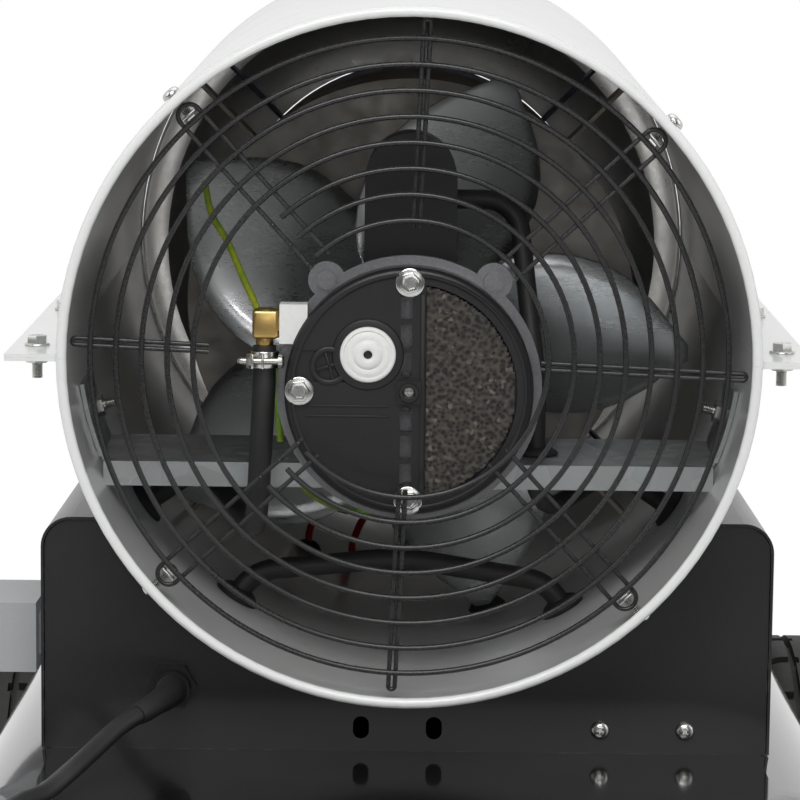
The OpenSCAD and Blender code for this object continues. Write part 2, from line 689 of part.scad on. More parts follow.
module pump_rotor() color("#4a4c4f") at_motor(pump_in + slit) {
    rotor_len = pump_len - pump_floor - 2 * slit;
    difference() {
        rod_y(rotor_d, rotor_len);
        translate([0, -cut, 0]) rod_y(shaft_d + 2 * shaft_fit, rotor_len + 2 * cut);
        for (i = [0:vanes - 1]) at_angle(45 + i * 360 / vanes)
            translate([0.5 * rotor_d / 2, -cut, -vane_t / 2 - slit])
                cube([rotor_d, rotor_len + 2 * cut, vane_t + 2 * slit]);
    }
    for (i = [0:vanes - 1]) at_angle(45 + i * 360 / vanes)
        translate([0.5 * rotor_d / 2 + slit, 0, -vane_t / 2])
            cube([0.5 * rotor_d / 2 - 2 * slit, rotor_len, vane_t]);
}

// Air line: outlet block on the pump plate, brass elbow, clip and hose
block_w = 12;
block_h = 17;
block_len = 12;
block_x = -0.93 * cover_r;
block_z = 0.53 * cover_r;
elbow_d = 8;
elbow_reach = 6.5;
elbow_drop = 10;
clip_h = 8;
clip_t = 1.5;
module air_block() color("#e4e4df") at_cover(plate_in - block_len) difference() {
    translate([block_x - block_w / 2, 0, block_z - block_h / 2]) cube([block_w, block_len, block_h]);
    translate([0, -cut, 0]) rod_y(cover_d + 2 * slit, block_len + 2 * cut);
}
module at_elbow() at_cover(plate_in - block_len / 2) translate([block_x - block_w / 2, 0, block_z])
    children();
module air_elbow() color("#b89442") at_elbow() {
    translate([-elbow_reach, 0, 0]) {
        rod_x(elbow_d, elbow_reach);
        sphere(d = elbow_d);
        translate([0, 0, -elbow_drop]) cylinder(d = elbow_d, h = elbow_drop);
    }
    translate([-elbow_reach / 3, 0, 0]) along_x() cylinder(d = 1.3 * elbow_d, h = elbow_reach / 3, $fn = 6);
}
module hose_clip() color("#8f9294") at_elbow()
    translate([-elbow_reach, 0, -elbow_drop - clip_h - clip_t]) {
        ring(hose_d + 2 * slit + 2 * clip_t, hose_d + 2 * slit, clip_h);
        translate([0, hose_d / 2 + slit + clip_t / 2, clip_h / 4])
            cube([clip_t, 2.5 * clip_t, clip_h / 2]);
    }

// Hoses and leads: where each passes the shell, as angle, depth and diameter
nozzle_d = 22;
fascia_in = cabinet_in + 0.5 * cabinet_len;
board_t = 1.6;
board_x = 0.88 * cabinet_w / 2;
board_in = fascia_in;
grommet_t = 3;
grommet_lip = 2.5;
cable_d = 10;
lead_d = 9;
fuel_d = 7;
wire_d = 4;
lead_before = fan_in - 0.8 * hub_len;
lead_after = fan_in + 2.1 * hub_len;
loop_in = bracket_in + 0.8 * bracket_len;
wires_in = chamber_in + 0.37 * chamber_len;
air_angle = 215;
lead_angle = 325;
fuel_angle = 285;
loop_angles = [238, 299];
wire_angles = [250, 259];
leads = [
    [loop_angles[0], loop_in, cable_d], [loop_angles[1], loop_in, cable_d],
    [air_angle, lead_before, hose_d], [air_angle, lead_after, hose_d],
    [lead_angle, lead_before, lead_d], [fuel_angle, lead_after, fuel_d],
    [wire_angles[0], wires_in, wire_d], [wire_angles[1], wires_in, wire_d]];
lead_x = 1.38 * motor_r;
lead_in = bracket_in + 0.4 * bracket_len;
lead_h = 0.7 * cap_h;
module grommets() color("#1b1b1c") {
    for (g = leads) {
        r = shell_r(g[1]);
        w = g[2] / 2 + 2 * grommet_t;
        inner = r - shell_t - sag(r - shell_t, w) - slit;
        radial(g[0], g[1], inner) ring(g[2] + 2 * grommet_t - 2 * slit, hole(g[2]), r + slit - inner + cut);
        radial(g[0], g[1], r + slit) ring(2 * w, hole(g[2]), grommet_lip);
        radial(g[0], g[1], inner - grommet_lip) ring(2 * w, hole(g[2]), grommet_lip);
    }
    at_axis() translate([lead_x, lead_in, bracket_top - bracket_t - slit - grommet_lip]) {
        ring(lead_d + 4 * grommet_t, hole(lead_d), grommet_lip);
        ring(lead_d + 2 * grommet_t - 2 * slit, hole(lead_d), 2 * grommet_lip + bracket_t + 2 * slit);
        translate([0, 0, grommet_lip + bracket_t + 2 * slit])
            ring(lead_d + 4 * grommet_t, hole(lead_d), grommet_lip);
    }
}

// The air hose runs from the pump under the bracket, past the fan outside the shell, to the burner.
// The corners between its named ends are shares of the radius of the fan end.
hose_start = [block_x - block_w / 2 - elbow_reach, plate_in - block_len / 2,
    block_z - motor_drop - pump_drop - elbow_drop];
air_shares = [[-0.44, 0.32, -0.42], [-0.46, 0.54, -0.57]];
air_path = concat([hose_start, hose_start - [0, 0, 1.6 * hose_d]], inlet_r * air_shares,
    [at_r(air_angle, 0.8 * inlet_r, lead_before), at_r(air_angle, inlet_r + 3 * hose_d, lead_before),
        at_r(air_angle, inlet_r + 3 * hose_d, lead_after), at_r(air_angle, nozzle_d / 2 + hose_d, lead_after)]);
module air_hose() color("#141415") at_axis() sweep(rounded(air_path, 1.8 * hose_d), hose_d, 12);

lead_path = [
    [cap_w / 2 - foot_depth + slit, cap_in + cap_len / 2, lead_h - motor_drop],
    [lead_x - lead_d, cap_in + cap_len / 2, lead_h - motor_drop],
    [lead_x, lead_in, -0.14 * inlet_r], [lead_x, lead_in, -0.57 * inlet_r],
    at_r(lead_angle, 0.8 * inlet_r, lead_before), at_r(lead_angle, inlet_r + 3 * lead_d, lead_before),
    [board_x, board_in - 3 * lead_d, -0.8 * inlet_r], [board_x, board_in - slit, -0.8 * inlet_r]];
module motor_lead() color("#161617") at_axis() sweep(rounded(lead_path, 1.9 * lead_d), lead_d, 10);

loop_path = [at_r(loop_angles[0], inlet_r + cable_d, loop_in), at_r(loop_angles[0], inlet_r - 1.15 * cable_d, loop_in),
    [-0.02 * inlet_r, loop_in, -0.735 * inlet_r],
    at_r(loop_angles[1], inlet_r - 1.15 * cable_d, loop_in), at_r(loop_angles[1], inlet_r + cable_d, loop_in)];
module cable_loop() color("#171718") at_axis()
    sweep(rounded(loop_path, [2.2 * cable_d, 0.8 * inlet_r, 2.2 * cable_d]), cable_d, 12);

filter_d = 24;
filter_h = 32;
fuel_x = -(inlet_r + 1.5 * fuel_d) * sin(fuel_angle) * 0.29;
fuel_path = [
    [fuel_x, lead_after, tank_base_h + 1.5 * filter_h - axis_h],
    [fuel_x, lead_after, fuel_x * tan(fuel_angle)],
    at_r(fuel_angle, 0.67 * inlet_r, lead_after), [0, lead_after, -0.34 * inlet_r],
    [0, lead_after, -nozzle_d / 2 - hose_d]];
module fuel_hose() color("#2a2520") at_axis() {
    sweep(rounded(fuel_path, 3 * fuel_d), fuel_d, 10);
    translate([fuel_x, lead_after, tank_base_h + filter_h / 2 - axis_h])
        cylinder(d = filter_d, h = filter_h + slit);
}

// Burner: a diffuser cup round the nozzle, the combustion chamber and the flame disc at its end
chamber_r = chamber_d / 2;
burner_in = chamber_in - burner_len / 4;
nozzle_len = 30;
nozzle_in = lead_after - 0.4 * nozzle_len;
electrode_d = 6;
swirl_slots = 8;
module burner_head() color("#8c8e90") at_axis() difference() {
    translate([0, burner_in, 0]) spin_y() {
        translate([nozzle_d / 2 + slit, 0]) square([burner_d / 2 - nozzle_d / 2 - slit, chamber_t]);
        translate([burner_d / 2 - chamber_t, 0]) square([chamber_t, burner_len]);
        translate([burner_d / 2 - chamber_t, chamber_in - burner_in - chamber_t])
            square([2 * electrode_d, chamber_t]);
    }
    for (i = [0:swirl_slots - 1]) at_angle((i + 0.5) * 360 / swirl_slots)
        translate([0.62 * burner_d / 2, burner_in - cut, -chamber_t])
            cube([0.28 * burner_d / 2, chamber_t + 2 * cut, 2 * chamber_t]);
    for (s = [-1, 1]) translate([s * nozzle_d * 0.8, burner_in - cut, nozzle_d * 0.4])
        rod_y(hole(electrode_d), chamber_t + 2 * cut);
}
module nozzle() color("#b7974a") at_axis() {
    translate([0, nozzle_in, 0]) {
        rod_y(nozzle_d, nozzle_len);
        translate([0, nozzle_len, 0]) along_y() cylinder(d1 = nozzle_d, d2 = nozzle_d / 3, h = nozzle_d / 3);
    }
    translate([0, lead_after, 0]) for (a = [air_angle, 270]) at_angle(a)
        rod_x(nozzle_d / 2, nozzle_d / 2 + hose_d - slit);
}
module electrodes() color("#e6e1d6") at_axis() for (s = [-1, 1])
    translate([s * nozzle_d * 0.8, nozzle_in - slit, nozzle_d * 0.4]) {
        rod_y(electrode_d, nozzle_len);
        rod_y(electrode_d / 3, nozzle_len + 2 * electrode_d);
    }
leg_angles = [45, 135, 225, 315];
leg_len = 24;
leg_t = 2;
chamber_end = chamber_in + chamber_len;
module combustion_chamber() color("#7d7f81") at_axis() {
    translate([0, chamber_in, 0]) spin_y() {
        translate([chamber_r - chamber_t, 0]) square([chamber_t, chamber_len]);
        translate([burner_d / 2 + slit, 0]) square([chamber_r - burner_d / 2 - slit, chamber_t]);
    }
    for (a = leg_angles, d = [chamber_in + leg_len, chamber_end - 2 * leg_len])
        translate([0, d, 0]) at_angle(a) translate([chamber_r - chamber_t / 2, 0, -leg_t / 2])
            cube([wall_r(d) - slit - chamber_r + chamber_t / 2, leg_len, leg_t]);
}
disc_r = 0.86 * chamber_r;
disc_tabs = 3;
module flame_disc() color("#6f6a64") at_axis() translate([0, chamber_end - leg_len, 0]) {
    slab_y(chamber_t) difference() {
        union() {
            circle(disc_r);
            intersection() {
                circle(chamber_r - chamber_t - slit);
                for (i = [0:disc_tabs - 1]) rotate(90 + i * 360 / disc_tabs) translate([0, -leg_len / 4])
                    square([chamber_r, leg_len / 2]);
            }
        }
        circle(0.2 * disc_r);
        for (i = [0:disc_holes - 1]) rotate(i * 360 / disc_holes) translate([0.66 * disc_r, 0])
            circle(0.14 * disc_r);
    }
}

// Cabinet: rear and front panel with a cut-out for the shell, and two covers wrapped over them
cover_x = cabinet_w / 2 + cabinet_t;
panel_flange = 46;
front_panel_in = cabinet_in + cabinet_len;
vent_at = [[-19.5, -166], [12.5, -166]];
vent_size = [7, 10];
zinc_at = [[85.4, -166], [122.6, -166]];
gland_at = [-102, -148];
side_screw_at = [-105, -165];
side_screw_in = 40;
gland_d = 16;
gland_len = 10;
module cabinet_outline(w, top, r) {
    translate([-w / 2, cabinet_floor]) square([w, top - r - cabinet_floor]);
    translate([r - w / 2, cabinet_floor]) square([w - 2 * r, top - cabinet_floor]);
    for (s = [-1, 1]) translate([s * (w / 2 - r), top - r]) circle(r);
}
module panel_walls(d) at_axis() difference() {
    union() {
        translate([0, d, 0]) slab_y(cabinet_t) cabinet_outline(cabinet_w - 2 * slit, cabinet_top, cabinet_r);
        translate([0, d, 0]) slab_y(panel_flange) difference() {
            cabinet_outline(cabinet_w - 2 * slit, cabinet_top, cabinet_r);
            translate([0, -cut]) cabinet_outline(
                cabinet_w - 2 * slit - 2 * cabinet_t, cabinet_top - cabinet_t, cabinet_r - cabinet_t);
            translate([-cabinet_w / 2, cabinet_floor - cut]) square([cabinet_w, cut]);
        }
        translate([-cabinet_w / 2 + cabinet_t, d, cabinet_floor])
            cube([cabinet_w - 2 * cabinet_t, panel_flange / 3, cabinet_t]);
    }
    shell_cone(d - panel_flange, d + 2 * panel_flange, slit);
    both_sides() for (z = side_screw_at) translate([cabinet_w / 2 - 4 * cabinet_t, d + side_screw_in, z])
        rod_x(hole(screw_d), 6 * cabinet_t);
}
module rear_panel() color("#1c1d1f") difference() {
    panel_walls(cabinet_in);
    at_axis() for (v = vent_at) translate([v[0], cabinet_in - cut, v[1]])
        slab_y(cabinet_t + 2 * cut) round_rect(vent_size[0], vent_size[1], 0.49 * vent_size[0]);
    at_axis() for (v = zinc_at) translate([v[0], cabinet_in - cut, v[1]])
        rod_y(hole(screw_d), cabinet_t + 2 * cut);
    at_axis() translate([gland_at[0], cabinet_in - cut, gland_at[1]]) rod_y(hole(gland_d), cabinet_t + 2 * cut);
}
module front_panel() color("#1c1d1f")
    translate([0, 2 * (rim_y + front_panel_in), 0]) mirror([0, 1, 0]) panel_walls(front_panel_in);
module side_covers() color("#1a1b1d") at_axis() difference() {
    translate([0, cabinet_in - cabinet_t, 0]) slab_y(cabinet_len + 2 * cabinet_t) difference() {
        cabinet_outline(2 * cover_x, cabinet_top + cabinet_t + slit, cabinet_r + cabinet_t);
        cabinet_outline(cabinet_w, cabinet_top + slit, cabinet_r);
        translate([-cabinet_w, cabinet_floor - cut]) square([2 * cabinet_w, cut + slit]);
    }
    shell_cone(0, shell_len, slit);
    both_sides() for (z = side_screw_at, d = [cabinet_in + side_screw_in, front_panel_in - side_screw_in])
        translate([cabinet_w / 2 - cabinet_t, d, z]) rod_x(hole(screw_d), 3 * cabinet_t);
    translate([cabinet_w / 2 - cut, fascia_in + fascia_edge, fascia_z + fascia_edge - fascia_h / 2])
        cube([cabinet_t + 2 * cut, fascia_len - 2 * fascia_edge, fascia_h - 2 * fascia_edge]);
}
module cabinet_screws() color("#a9abad") at_axis() {
    both_sides() for (z = side_screw_at, d = [cabinet_in + side_screw_in, front_panel_in - side_screw_in])
        translate([cover_x, d, z]) along_x() pan_screw(4 * cabinet_t);
    for (v = zinc_at) translate([v[0], cabinet_in, v[1]]) rotate([90, 0, 0]) pan_screw(4 * cabinet_t);
}
module cord_gland() color("#1a1a1b") at_axis() translate([gland_at[0], cabinet_in, gland_at[1]]) {
    translate([0, -gland_len, 0]) difference() {
        rod_y(gland_d, gland_len);
        translate([0, -cut, 0]) rod_y(hole(cord_d), cut + gland_len / 2);
    }
    translate([0, -gland_len / 3, 0]) along_y() cylinder(d = 1.35 * gland_d, h = gland_len / 3, $fn = 6);
    rod_y(gland_d - slit, gland_len / 2);
    translate([0, cabinet_t + slit, 0]) along_y() cylinder(d = 1.3 * gland_d, h = gland_len / 3, $fn = 6);
}

// Controls on the right cover, with the board behind them
fascia_t = 3;
fascia_edge = 8;
fascia_z = cabinet_top - cabinet_h / 2;
knob_shares = [0.28, 0.68];
lamp_share = 0.46;
knob_shaft = 8;
rocker_gap = 1.5;
module at_fascia(share, z) at_axis() translate([cover_x + slit, fascia_in + share * fascia_len, fascia_z + z])
    children();
module control_fascia() color("#2e3033") difference() {
    union() {
        at_fascia(0.5, 0) along_x() linear_extrude(fascia_t)
            round_rect(fascia_h, fascia_len, fascia_edge);
        at_fascia(0.5, 0) translate([-fascia_edge, 0, 0]) along_x() difference() {
            linear_extrude(fascia_edge + fascia_t / 2)
                round_rect(fascia_h - 2 * fascia_edge - 2 * slit, fascia_len - 2 * fascia_edge - 2 * slit, fascia_t);
            translate([0, 0, -cut]) linear_extrude(fascia_edge + cut)
                round_rect(fascia_h - 2 * fascia_edge - 2 * fascia_t, fascia_len - 2 * fascia_edge - 2 * fascia_t,
                    fascia_t / 2);
        }
        at_fascia(lamp_share, 0) rod_x(knob_shaft, fascia_t + knob_shaft / 4);
    }
    at_fascia(knob_shares[0], 0) translate([-cut, -rocker_w / 2 - rocker_gap / 2, -rocker_h / 2 - rocker_gap])
        cube([fascia_t + 2 * cut, rocker_w + rocker_gap, rocker_h + 2 * rocker_gap]);
    at_fascia(knob_shares[1], 0) translate([-cut, 0, 0])
        rod_x(knob_shaft + 2 * shaft_fit, fascia_t + 2 * cut);
}
module rocker_switch() color("#b5342a") at_fascia(knob_shares[0], 0) translate([0, -rocker_w / 2, 0])
    intersection() {
        translate([fascia_t / 2, 0, 0]) rod_y(rocker_h, rocker_w);
        translate([-fascia_t, 0, -rocker_h / 2]) difference() {
            cube([3 * fascia_t, rocker_w, rocker_h]);
            translate([3 * fascia_t, -cut, rocker_h / 2]) rod_y(rocker_h / 3, rocker_w + 2 * cut);
        }
    }
module thermostat_knob() color("#232426") at_fascia(knob_shares[1], 0) {
    translate([fascia_t + slit, 0, 0]) along_x() difference() {
        union() {
            cylinder(d = knob_d, h = knob_h / 4);
            cylinder(d = 0.78 * knob_d, h = knob_h);
        }
        for (i = [0:11]) rotate(i * 30) translate([0.42 * knob_d, 0, 0.28 * knob_h])
            cylinder(d = knob_d / 9, h = knob_h);
        translate([-knob_d / 40, 0, knob_h - knob_h / 12]) cube([knob_d / 20, knob_d, knob_h]);
    }
    translate([-fascia_edge, 0, 0]) rod_x(knob_shaft, fascia_edge + fascia_t + 2 * slit);
}
module control_board() color("#2f5a3c") at_axis() {
    translate([board_x, board_in, fascia_z - 0.4 * fascia_h]) cube([board_t, fascia_len, 0.8 * fascia_h]);
    for (y = [0.15, 0.85], z = [-1, 1]) translate([board_x, board_in + y * fascia_len,
        fascia_z + z * (fascia_h / 2 - fascia_edge - fascia_t / 2 - slit)])
        rod_x(fascia_t, cover_x + slit - fascia_edge - slit - board_x);
    translate([board_x, board_in + knob_shares[1] * fascia_len, fascia_z])
        rod_x(2 * knob_shaft, cover_x - fascia_edge - board_x);
    for (y = [0.3, 0.45]) translate([board_x, board_in + y * fascia_len, fascia_z - fascia_h / 4])
        cube([cover_x - board_x - 1.6 * fascia_edge, fascia_len / 9, fascia_h / 5]);
}
transformer_size = [38, 84, 46];
transformer_gap = 6.5;
transformer_at = [transformer_gap - cabinet_w / 2, 300];
module ignition_transformer() color("#3a3c3f") at_axis() {
    translate([transformer_at[0], transformer_at[1], cabinet_floor + slit]) cube(transformer_size);
    for (y = [0.3, 0.7]) translate([transformer_at[0] + transformer_size[0] / 2,
        transformer_at[1] + y * transformer_size[1], cabinet_floor + transformer_size[2]])
        cylinder(d = electrode_d, h = electrode_d);
}

// Socket box on the left cover, with a hinged lid
socket_neck = 9;
socket_t = 2.5;
socket_lid_t = 3;
socket_top = -123;
hinge_d = 5;
hinge_pin_d = 2.4;
socket_x = cover_x + socket_neck;
lid_x = socket_x + socket_w - socket_lid_t;
hinge_x = lid_x - hinge_d / 2 + 2 * slit;
hinge_z = hinge_d / 2 + slit;
hinge_len = socket_len / 5;
module at_socket() at_axis() mirror([1, 0, 0]) translate([0, socket_in, socket_top]) children();
module socket_box() color("#7c7f82") at_socket() difference() {
    union() {
        translate([socket_x, 0, -socket_h]) cube([socket_w - socket_lid_t - slit, socket_len, socket_h]);
        translate([cover_x + slit, socket_len / 6, -0.8 * socket_h])
            cube([socket_neck, 0.66 * socket_len, 0.6 * socket_h]);
        translate([cover_x + slit, 0, -socket_h]) cube([socket_t, socket_len, socket_h]);
        for (y = [0, socket_len - hinge_len]) {
            translate([hinge_x, y, hinge_z]) rod_y(hinge_d, hinge_len);
            translate([hinge_x - hinge_d / 2, y, -socket_t]) cube([hinge_d / 2, hinge_len, socket_t + hinge_z]);
        }
        translate([hinge_x, slit, hinge_z]) rod_y(hinge_pin_d, socket_len - 2 * slit);
    }
    translate([socket_x + socket_w / 3, socket_t, -socket_h + socket_t])
        cube([socket_w, socket_len - 2 * socket_t, socket_h - 2 * socket_t]);
}
module socket_lid() color("#85888b") at_socket() difference() {
    union() {
        translate([lid_x, slit, -socket_h]) cube([socket_lid_t, socket_len - 2 * slit, socket_h - slit]);
        translate([lid_x, hinge_len + slit, -socket_t])
            cube([socket_lid_t, socket_len - 2 * hinge_len - 2 * slit, socket_t + hinge_z]);
        translate([hinge_x, hinge_len + slit, hinge_z]) rod_y(hinge_d, socket_len - 2 * hinge_len - 2 * slit);
    }
    translate([hinge_x, -cut, hinge_z]) rod_y(hinge_pin_d + 2 * shaft_fit, socket_len + 2 * cut);
}

// Power cord: its route in the frame of the rear rim, as x, depth and height above the shell axis
cord_route = [[-102, 30, -148], [-102, 22, -148], [-111, 5, -151], [-121, -10, -155], [-130, -27, -161],
    [-138, -44, -166], [-147, -60, -171], [-157, -82, -171], [-164, -104, -180], [-168, -119, -205],
    [-169, -124, -245], [-169, -126, -300], [-168, -128, -360], [-165, -134, -410], [-158, -150, -450],
    [-154, -175, -466], [-153, -205, -471], [-153, -227, -472.1], [-153, -235, -472.1]];
module power_cord() color("#101011") at_axis() sweep(smooth(cord_route, 3), cord_d, 10);

// The rest of the cord: two layers that spiral in and out again, and a tail up to the plug
coil_rings = 24;
coil_rise = cord_d + 0.6;
coil_out_r = coil_r + coil_turns * coil_pitch / 2;
coil_in_r = coil_r - coil_turns * coil_pitch / 2;
coil_x = cord_route[len(cord_route) - 1][0] + coil_out_r;
coil_in = cord_route[len(cord_route) - 1][1];
coil_top = cord_route[len(cord_route) - 1][2];
coil_steps = coil_turns * coil_rings;
// Radius and drop of the coil centre line, i steps from its start
function coil_point(i) =
    let (half = coil_rings / 2, j = i - coil_steps, k = j - half,
        r = i < coil_steps ? coil_out_r - coil_pitch * i / coil_rings
            : j < half ? coil_in_r - cord_d / 6 * sin(180 * j / half)
            : coil_in_r + coil_pitch * k / coil_rings,
        s = min(max(j / half, 0), 1), a = 180 + 360 * i / coil_rings)
    [coil_x + r * cos(a), coil_in + r * sin(a), coil_top - coil_rise * s * s * (3 - 2 * s)];
coil_all = 2 * coil_steps + coil_rings / 2;
coil_end = coil_point(coil_all);
plug_d = 38;
plug_len = 34;
plug_tail = 24;
plug_z = plug_d / 2 + slit - axis_h;
tail_len = 70;
coil_path = concat([for (i = [1:coil_all]) coil_point(i)],
    [for (s = [0.25, 0.5, 0.75, 1]) [coil_end[0], coil_end[1] + cord_d + s * tail_len,
        coil_end[2] + (plug_z - coil_end[2]) * s * s * (3 - 2 * s)]],
    [[coil_end[0], coil_end[1] + 2 * cord_d + tail_len, plug_z]]);
coil_line = concat([cord_route[len(cord_route) - 1]], coil_path);
coil_gap = min([for (i = [0:coil_all], j = [i + coil_rings / 2:1:coil_all])
    norm(coil_line[i] - coil_line[j])]) - cord_d;
echo(coil_gap = coil_gap);
module cord_coil() color("#101011") at_axis() sweep(coil_line, cord_d, 6);
module plug() color("#121213") at_axis()
    translate([coil_end[0], coil_end[1] + 2 * cord_d + tail_len, plug_z]) {
        along_y() {
            cylinder(d1 = 1.5 * cord_d, d2 = 2 * cord_d, h = plug_tail);
            translate([0, 0, plug_tail]) cylinder(d1 = 0.8 * plug_d, d2 = plug_d, h = plug_len / 3);
            translate([0, 0, plug_tail + plug_len / 3]) cylinder(d = plug_d, h = 2 * plug_len / 3);
        }
        for (s = [-1, 1]) translate([s * plug_d / 4, plug_tail + plug_len, 0])
            rod_y(pin_d, plug_len / 2);
    }
pin_d = 4.8;

// Tank: two deep pans joined by a seam, each with round edges and corners
seam_h = tank_base_h + tank_h / 2;
tank_mid = tank_len / 2 - tank_back;
cap_at = [110, 628];
gauge_at = [-110, 628];
dial_d = 36;
dial_h = 5;
dial_stem = 14;
neck_step = 5;
neck_d = fuel_cap_d - 2 * neck_step;
neck_h = 8;
module pan_outline(i) {
    square([tank_corner_r - i, tank_h / 2 - tank_edge_r]);
    square([tank_corner_r - tank_edge_r, tank_h / 2 - i]);
    translate([tank_corner_r - tank_edge_r, tank_h / 2 - tank_edge_r]) circle(tank_edge_r - i);
}
module pan_section() {
    intersection() {
        difference() {
            pan_outline(0);
            pan_outline(tank_t);
        }
        square([tank_corner_r, tank_h / 2]);
    }
    translate([tank_corner_r - tank_t, 0]) square([seam_w + tank_t, tank_t]);
}
module pan() {
    w = tank_w / 2 - tank_corner_r;
    l = tank_len / 2 - tank_corner_r;
    for (k = [0:3]) rotate(90 * k) let (c = k % 2 == 0 ? [w, l] : [l, w]) {
        translate([c[0], -c[1], 0]) slab_y(2 * c[1]) pan_section();
        translate([c[0], c[1], 0]) rotate_extrude(angle = 90) pan_section();
    }
    translate([-w, -l, tank_h / 2 - tank_t]) cube([2 * w, 2 * l, tank_t]);
}
module at_tank(h) translate([0, rim_y, h]) children();
module tank_top() color("#131315") difference() {
    union() {
        translate([0, rim_y + tank_mid, seam_h]) pan();
        at_tank(tank_top_h - tank_t) translate([cap_at[0], cap_at[1], 0])
            cylinder(d = neck_d, h = neck_h + tank_t);
    }
    at_tank(tank_top_h - 2 * tank_t) {
        translate([cap_at[0], cap_at[1], 0]) cylinder(d = neck_d - 2 * tank_t, h = neck_h + 3 * tank_t);
        translate([gauge_at[0], gauge_at[1], 0]) cylinder(d = hole(dial_stem), h = 3 * tank_t);
        translate([fuel_x, lead_after, 0]) cylinder(d = hole(fuel_d), h = 3 * tank_t);
    }
}
module tank_bottom() color("#131315")
    translate([0, rim_y + tank_mid, seam_h]) mirror([0, 0, 1]) pan();
module fuel_cap() color("#232325") at_tank(tank_top_h + slit) translate([cap_at[0], cap_at[1], 0])
    difference() {
        cylinder(d = fuel_cap_d, h = fuel_cap_h);
        translate([0, 0, -cut]) cylinder(d = hole(neck_d), h = neck_h + slit + cut);
        for (i = [0:11]) rotate(i * 30) translate([fuel_cap_d / 2, 0, -cut])
            cylinder(d = fuel_cap_d / 10, h = fuel_cap_h + 2 * cut);
    }
module fuel_gauge() color("#d8dadb") at_tank(tank_top_h) translate([gauge_at[0], gauge_at[1], 0]) {
    difference() {
        cylinder(d = dial_d, h = dial_h);
        translate([0, 0, 0.6 * dial_h]) cylinder(d = 0.84 * dial_d, h = dial_h);
    }
    translate([0, 0, -0.2 * tank_h]) cylinder(d = dial_stem, h = 0.2 * tank_h + dial_h / 2);
}

// Chassis: two rails under the tank that rise to the handle, cross tubes, foot and axle plates
bend_r = 40;
foot_t = 4;
rail_z = tank_base_h - tube_d / 2 - slit;
rear_out = tank_back + seam_w + tube_d / 4;
grip_back = rear_out + bend_r * sin(handle_tilt);
handle_leg = (handle_back - grip_d / 2 - grip_back) / cos(handle_tilt);
handle_z = rail_z + bend_r * (1 - cos(handle_tilt));
foot_d = 0.9 * tube_d;
foot_leg = rail_z - foot_d / 2 - foot_t;
plate_w = 56;
rail_over = 10;
rail_end = axle_in + plate_w / 2 + rail_over;
cross_at = [90, 330, rail_end - tube_d];
axle_plate_t = 5;
wheel_r = wheel_d / 2;
axle_x = tank_w / 2 + wheel_gap;
// U of tube in the plane of X and Y, open towards +Y
module u_tube(leg) {
    d = foot_d;
    both_sides() {
        translate([rail_span / 2, bend_r - leg, 0]) rod_y(d, leg - bend_r + d / 4);
        translate([rail_span / 2 - bend_r, bend_r - leg, 0]) rotate(-90) rotate_extrude(angle = 90)
            translate([bend_r, 0]) circle(d = d);
    }
    translate([bend_r - rail_span / 2, -leg, 0]) rod_x(d, rail_span - 2 * bend_r);
}
module chassis() color("#18181a") at_tank(rail_z) difference() {
    union() {
        both_sides() {
            translate([rail_span / 2, -rear_out, 0]) rod_y(tube_d, rail_end + rear_out);
            translate([rail_span / 2, -rear_out, bend_r]) rotate(a = 180, v = [1, 0, -1])
                rotate_extrude(angle = handle_tilt) translate([bend_r, 0]) circle(d = tube_d);
            translate([rail_span / 2 - axle_plate_t / 2, axle_in - plate_w / 2, wheel_r - rail_z - axle_d])
                cube([axle_plate_t, plate_w, rail_z - wheel_r + axle_d]);
        }
        translate([0, -grip_back, handle_z - rail_z]) rotate([-handle_tilt, 0, 0]) u_tube(handle_leg);
        translate([0, foot_in, 0]) rotate([90, 0, 0]) u_tube(foot_leg);
        for (d = cross_at) translate([-rail_span / 2, d, 0]) rod_x(0.8 * tube_d, rail_span);
    }
    translate([-rail_span, axle_in, wheel_r - rail_z]) rod_x(axle_d + 2 * shaft_fit, 2 * rail_span);
}
grip_len = 0.62 * rail_span;
module handle_grip() color("#1a1a1b") at_tank(handle_z) translate([-grip_len / 2, -grip_back, 0])
    rotate([-handle_tilt, 0, 0]) translate([0, -handle_leg, 0]) along_x() difference() {
        ring(grip_d, hole(foot_d), grip_len);
        for (i = [1:9]) translate([0, 0, i * grip_len / 10]) ring(1.2 * grip_d, 0.92 * grip_d, foot_t / 2);
    }
foot_len = 50;
module feet() color("#1a1a1b") at_tank(foot_d / 2 + foot_t) both_sides()
    translate([rail_span / 2 - bend_r - foot_len, foot_in, 0])
        along_x() ring(foot_d + 2 * foot_t, hole(foot_d), foot_len);

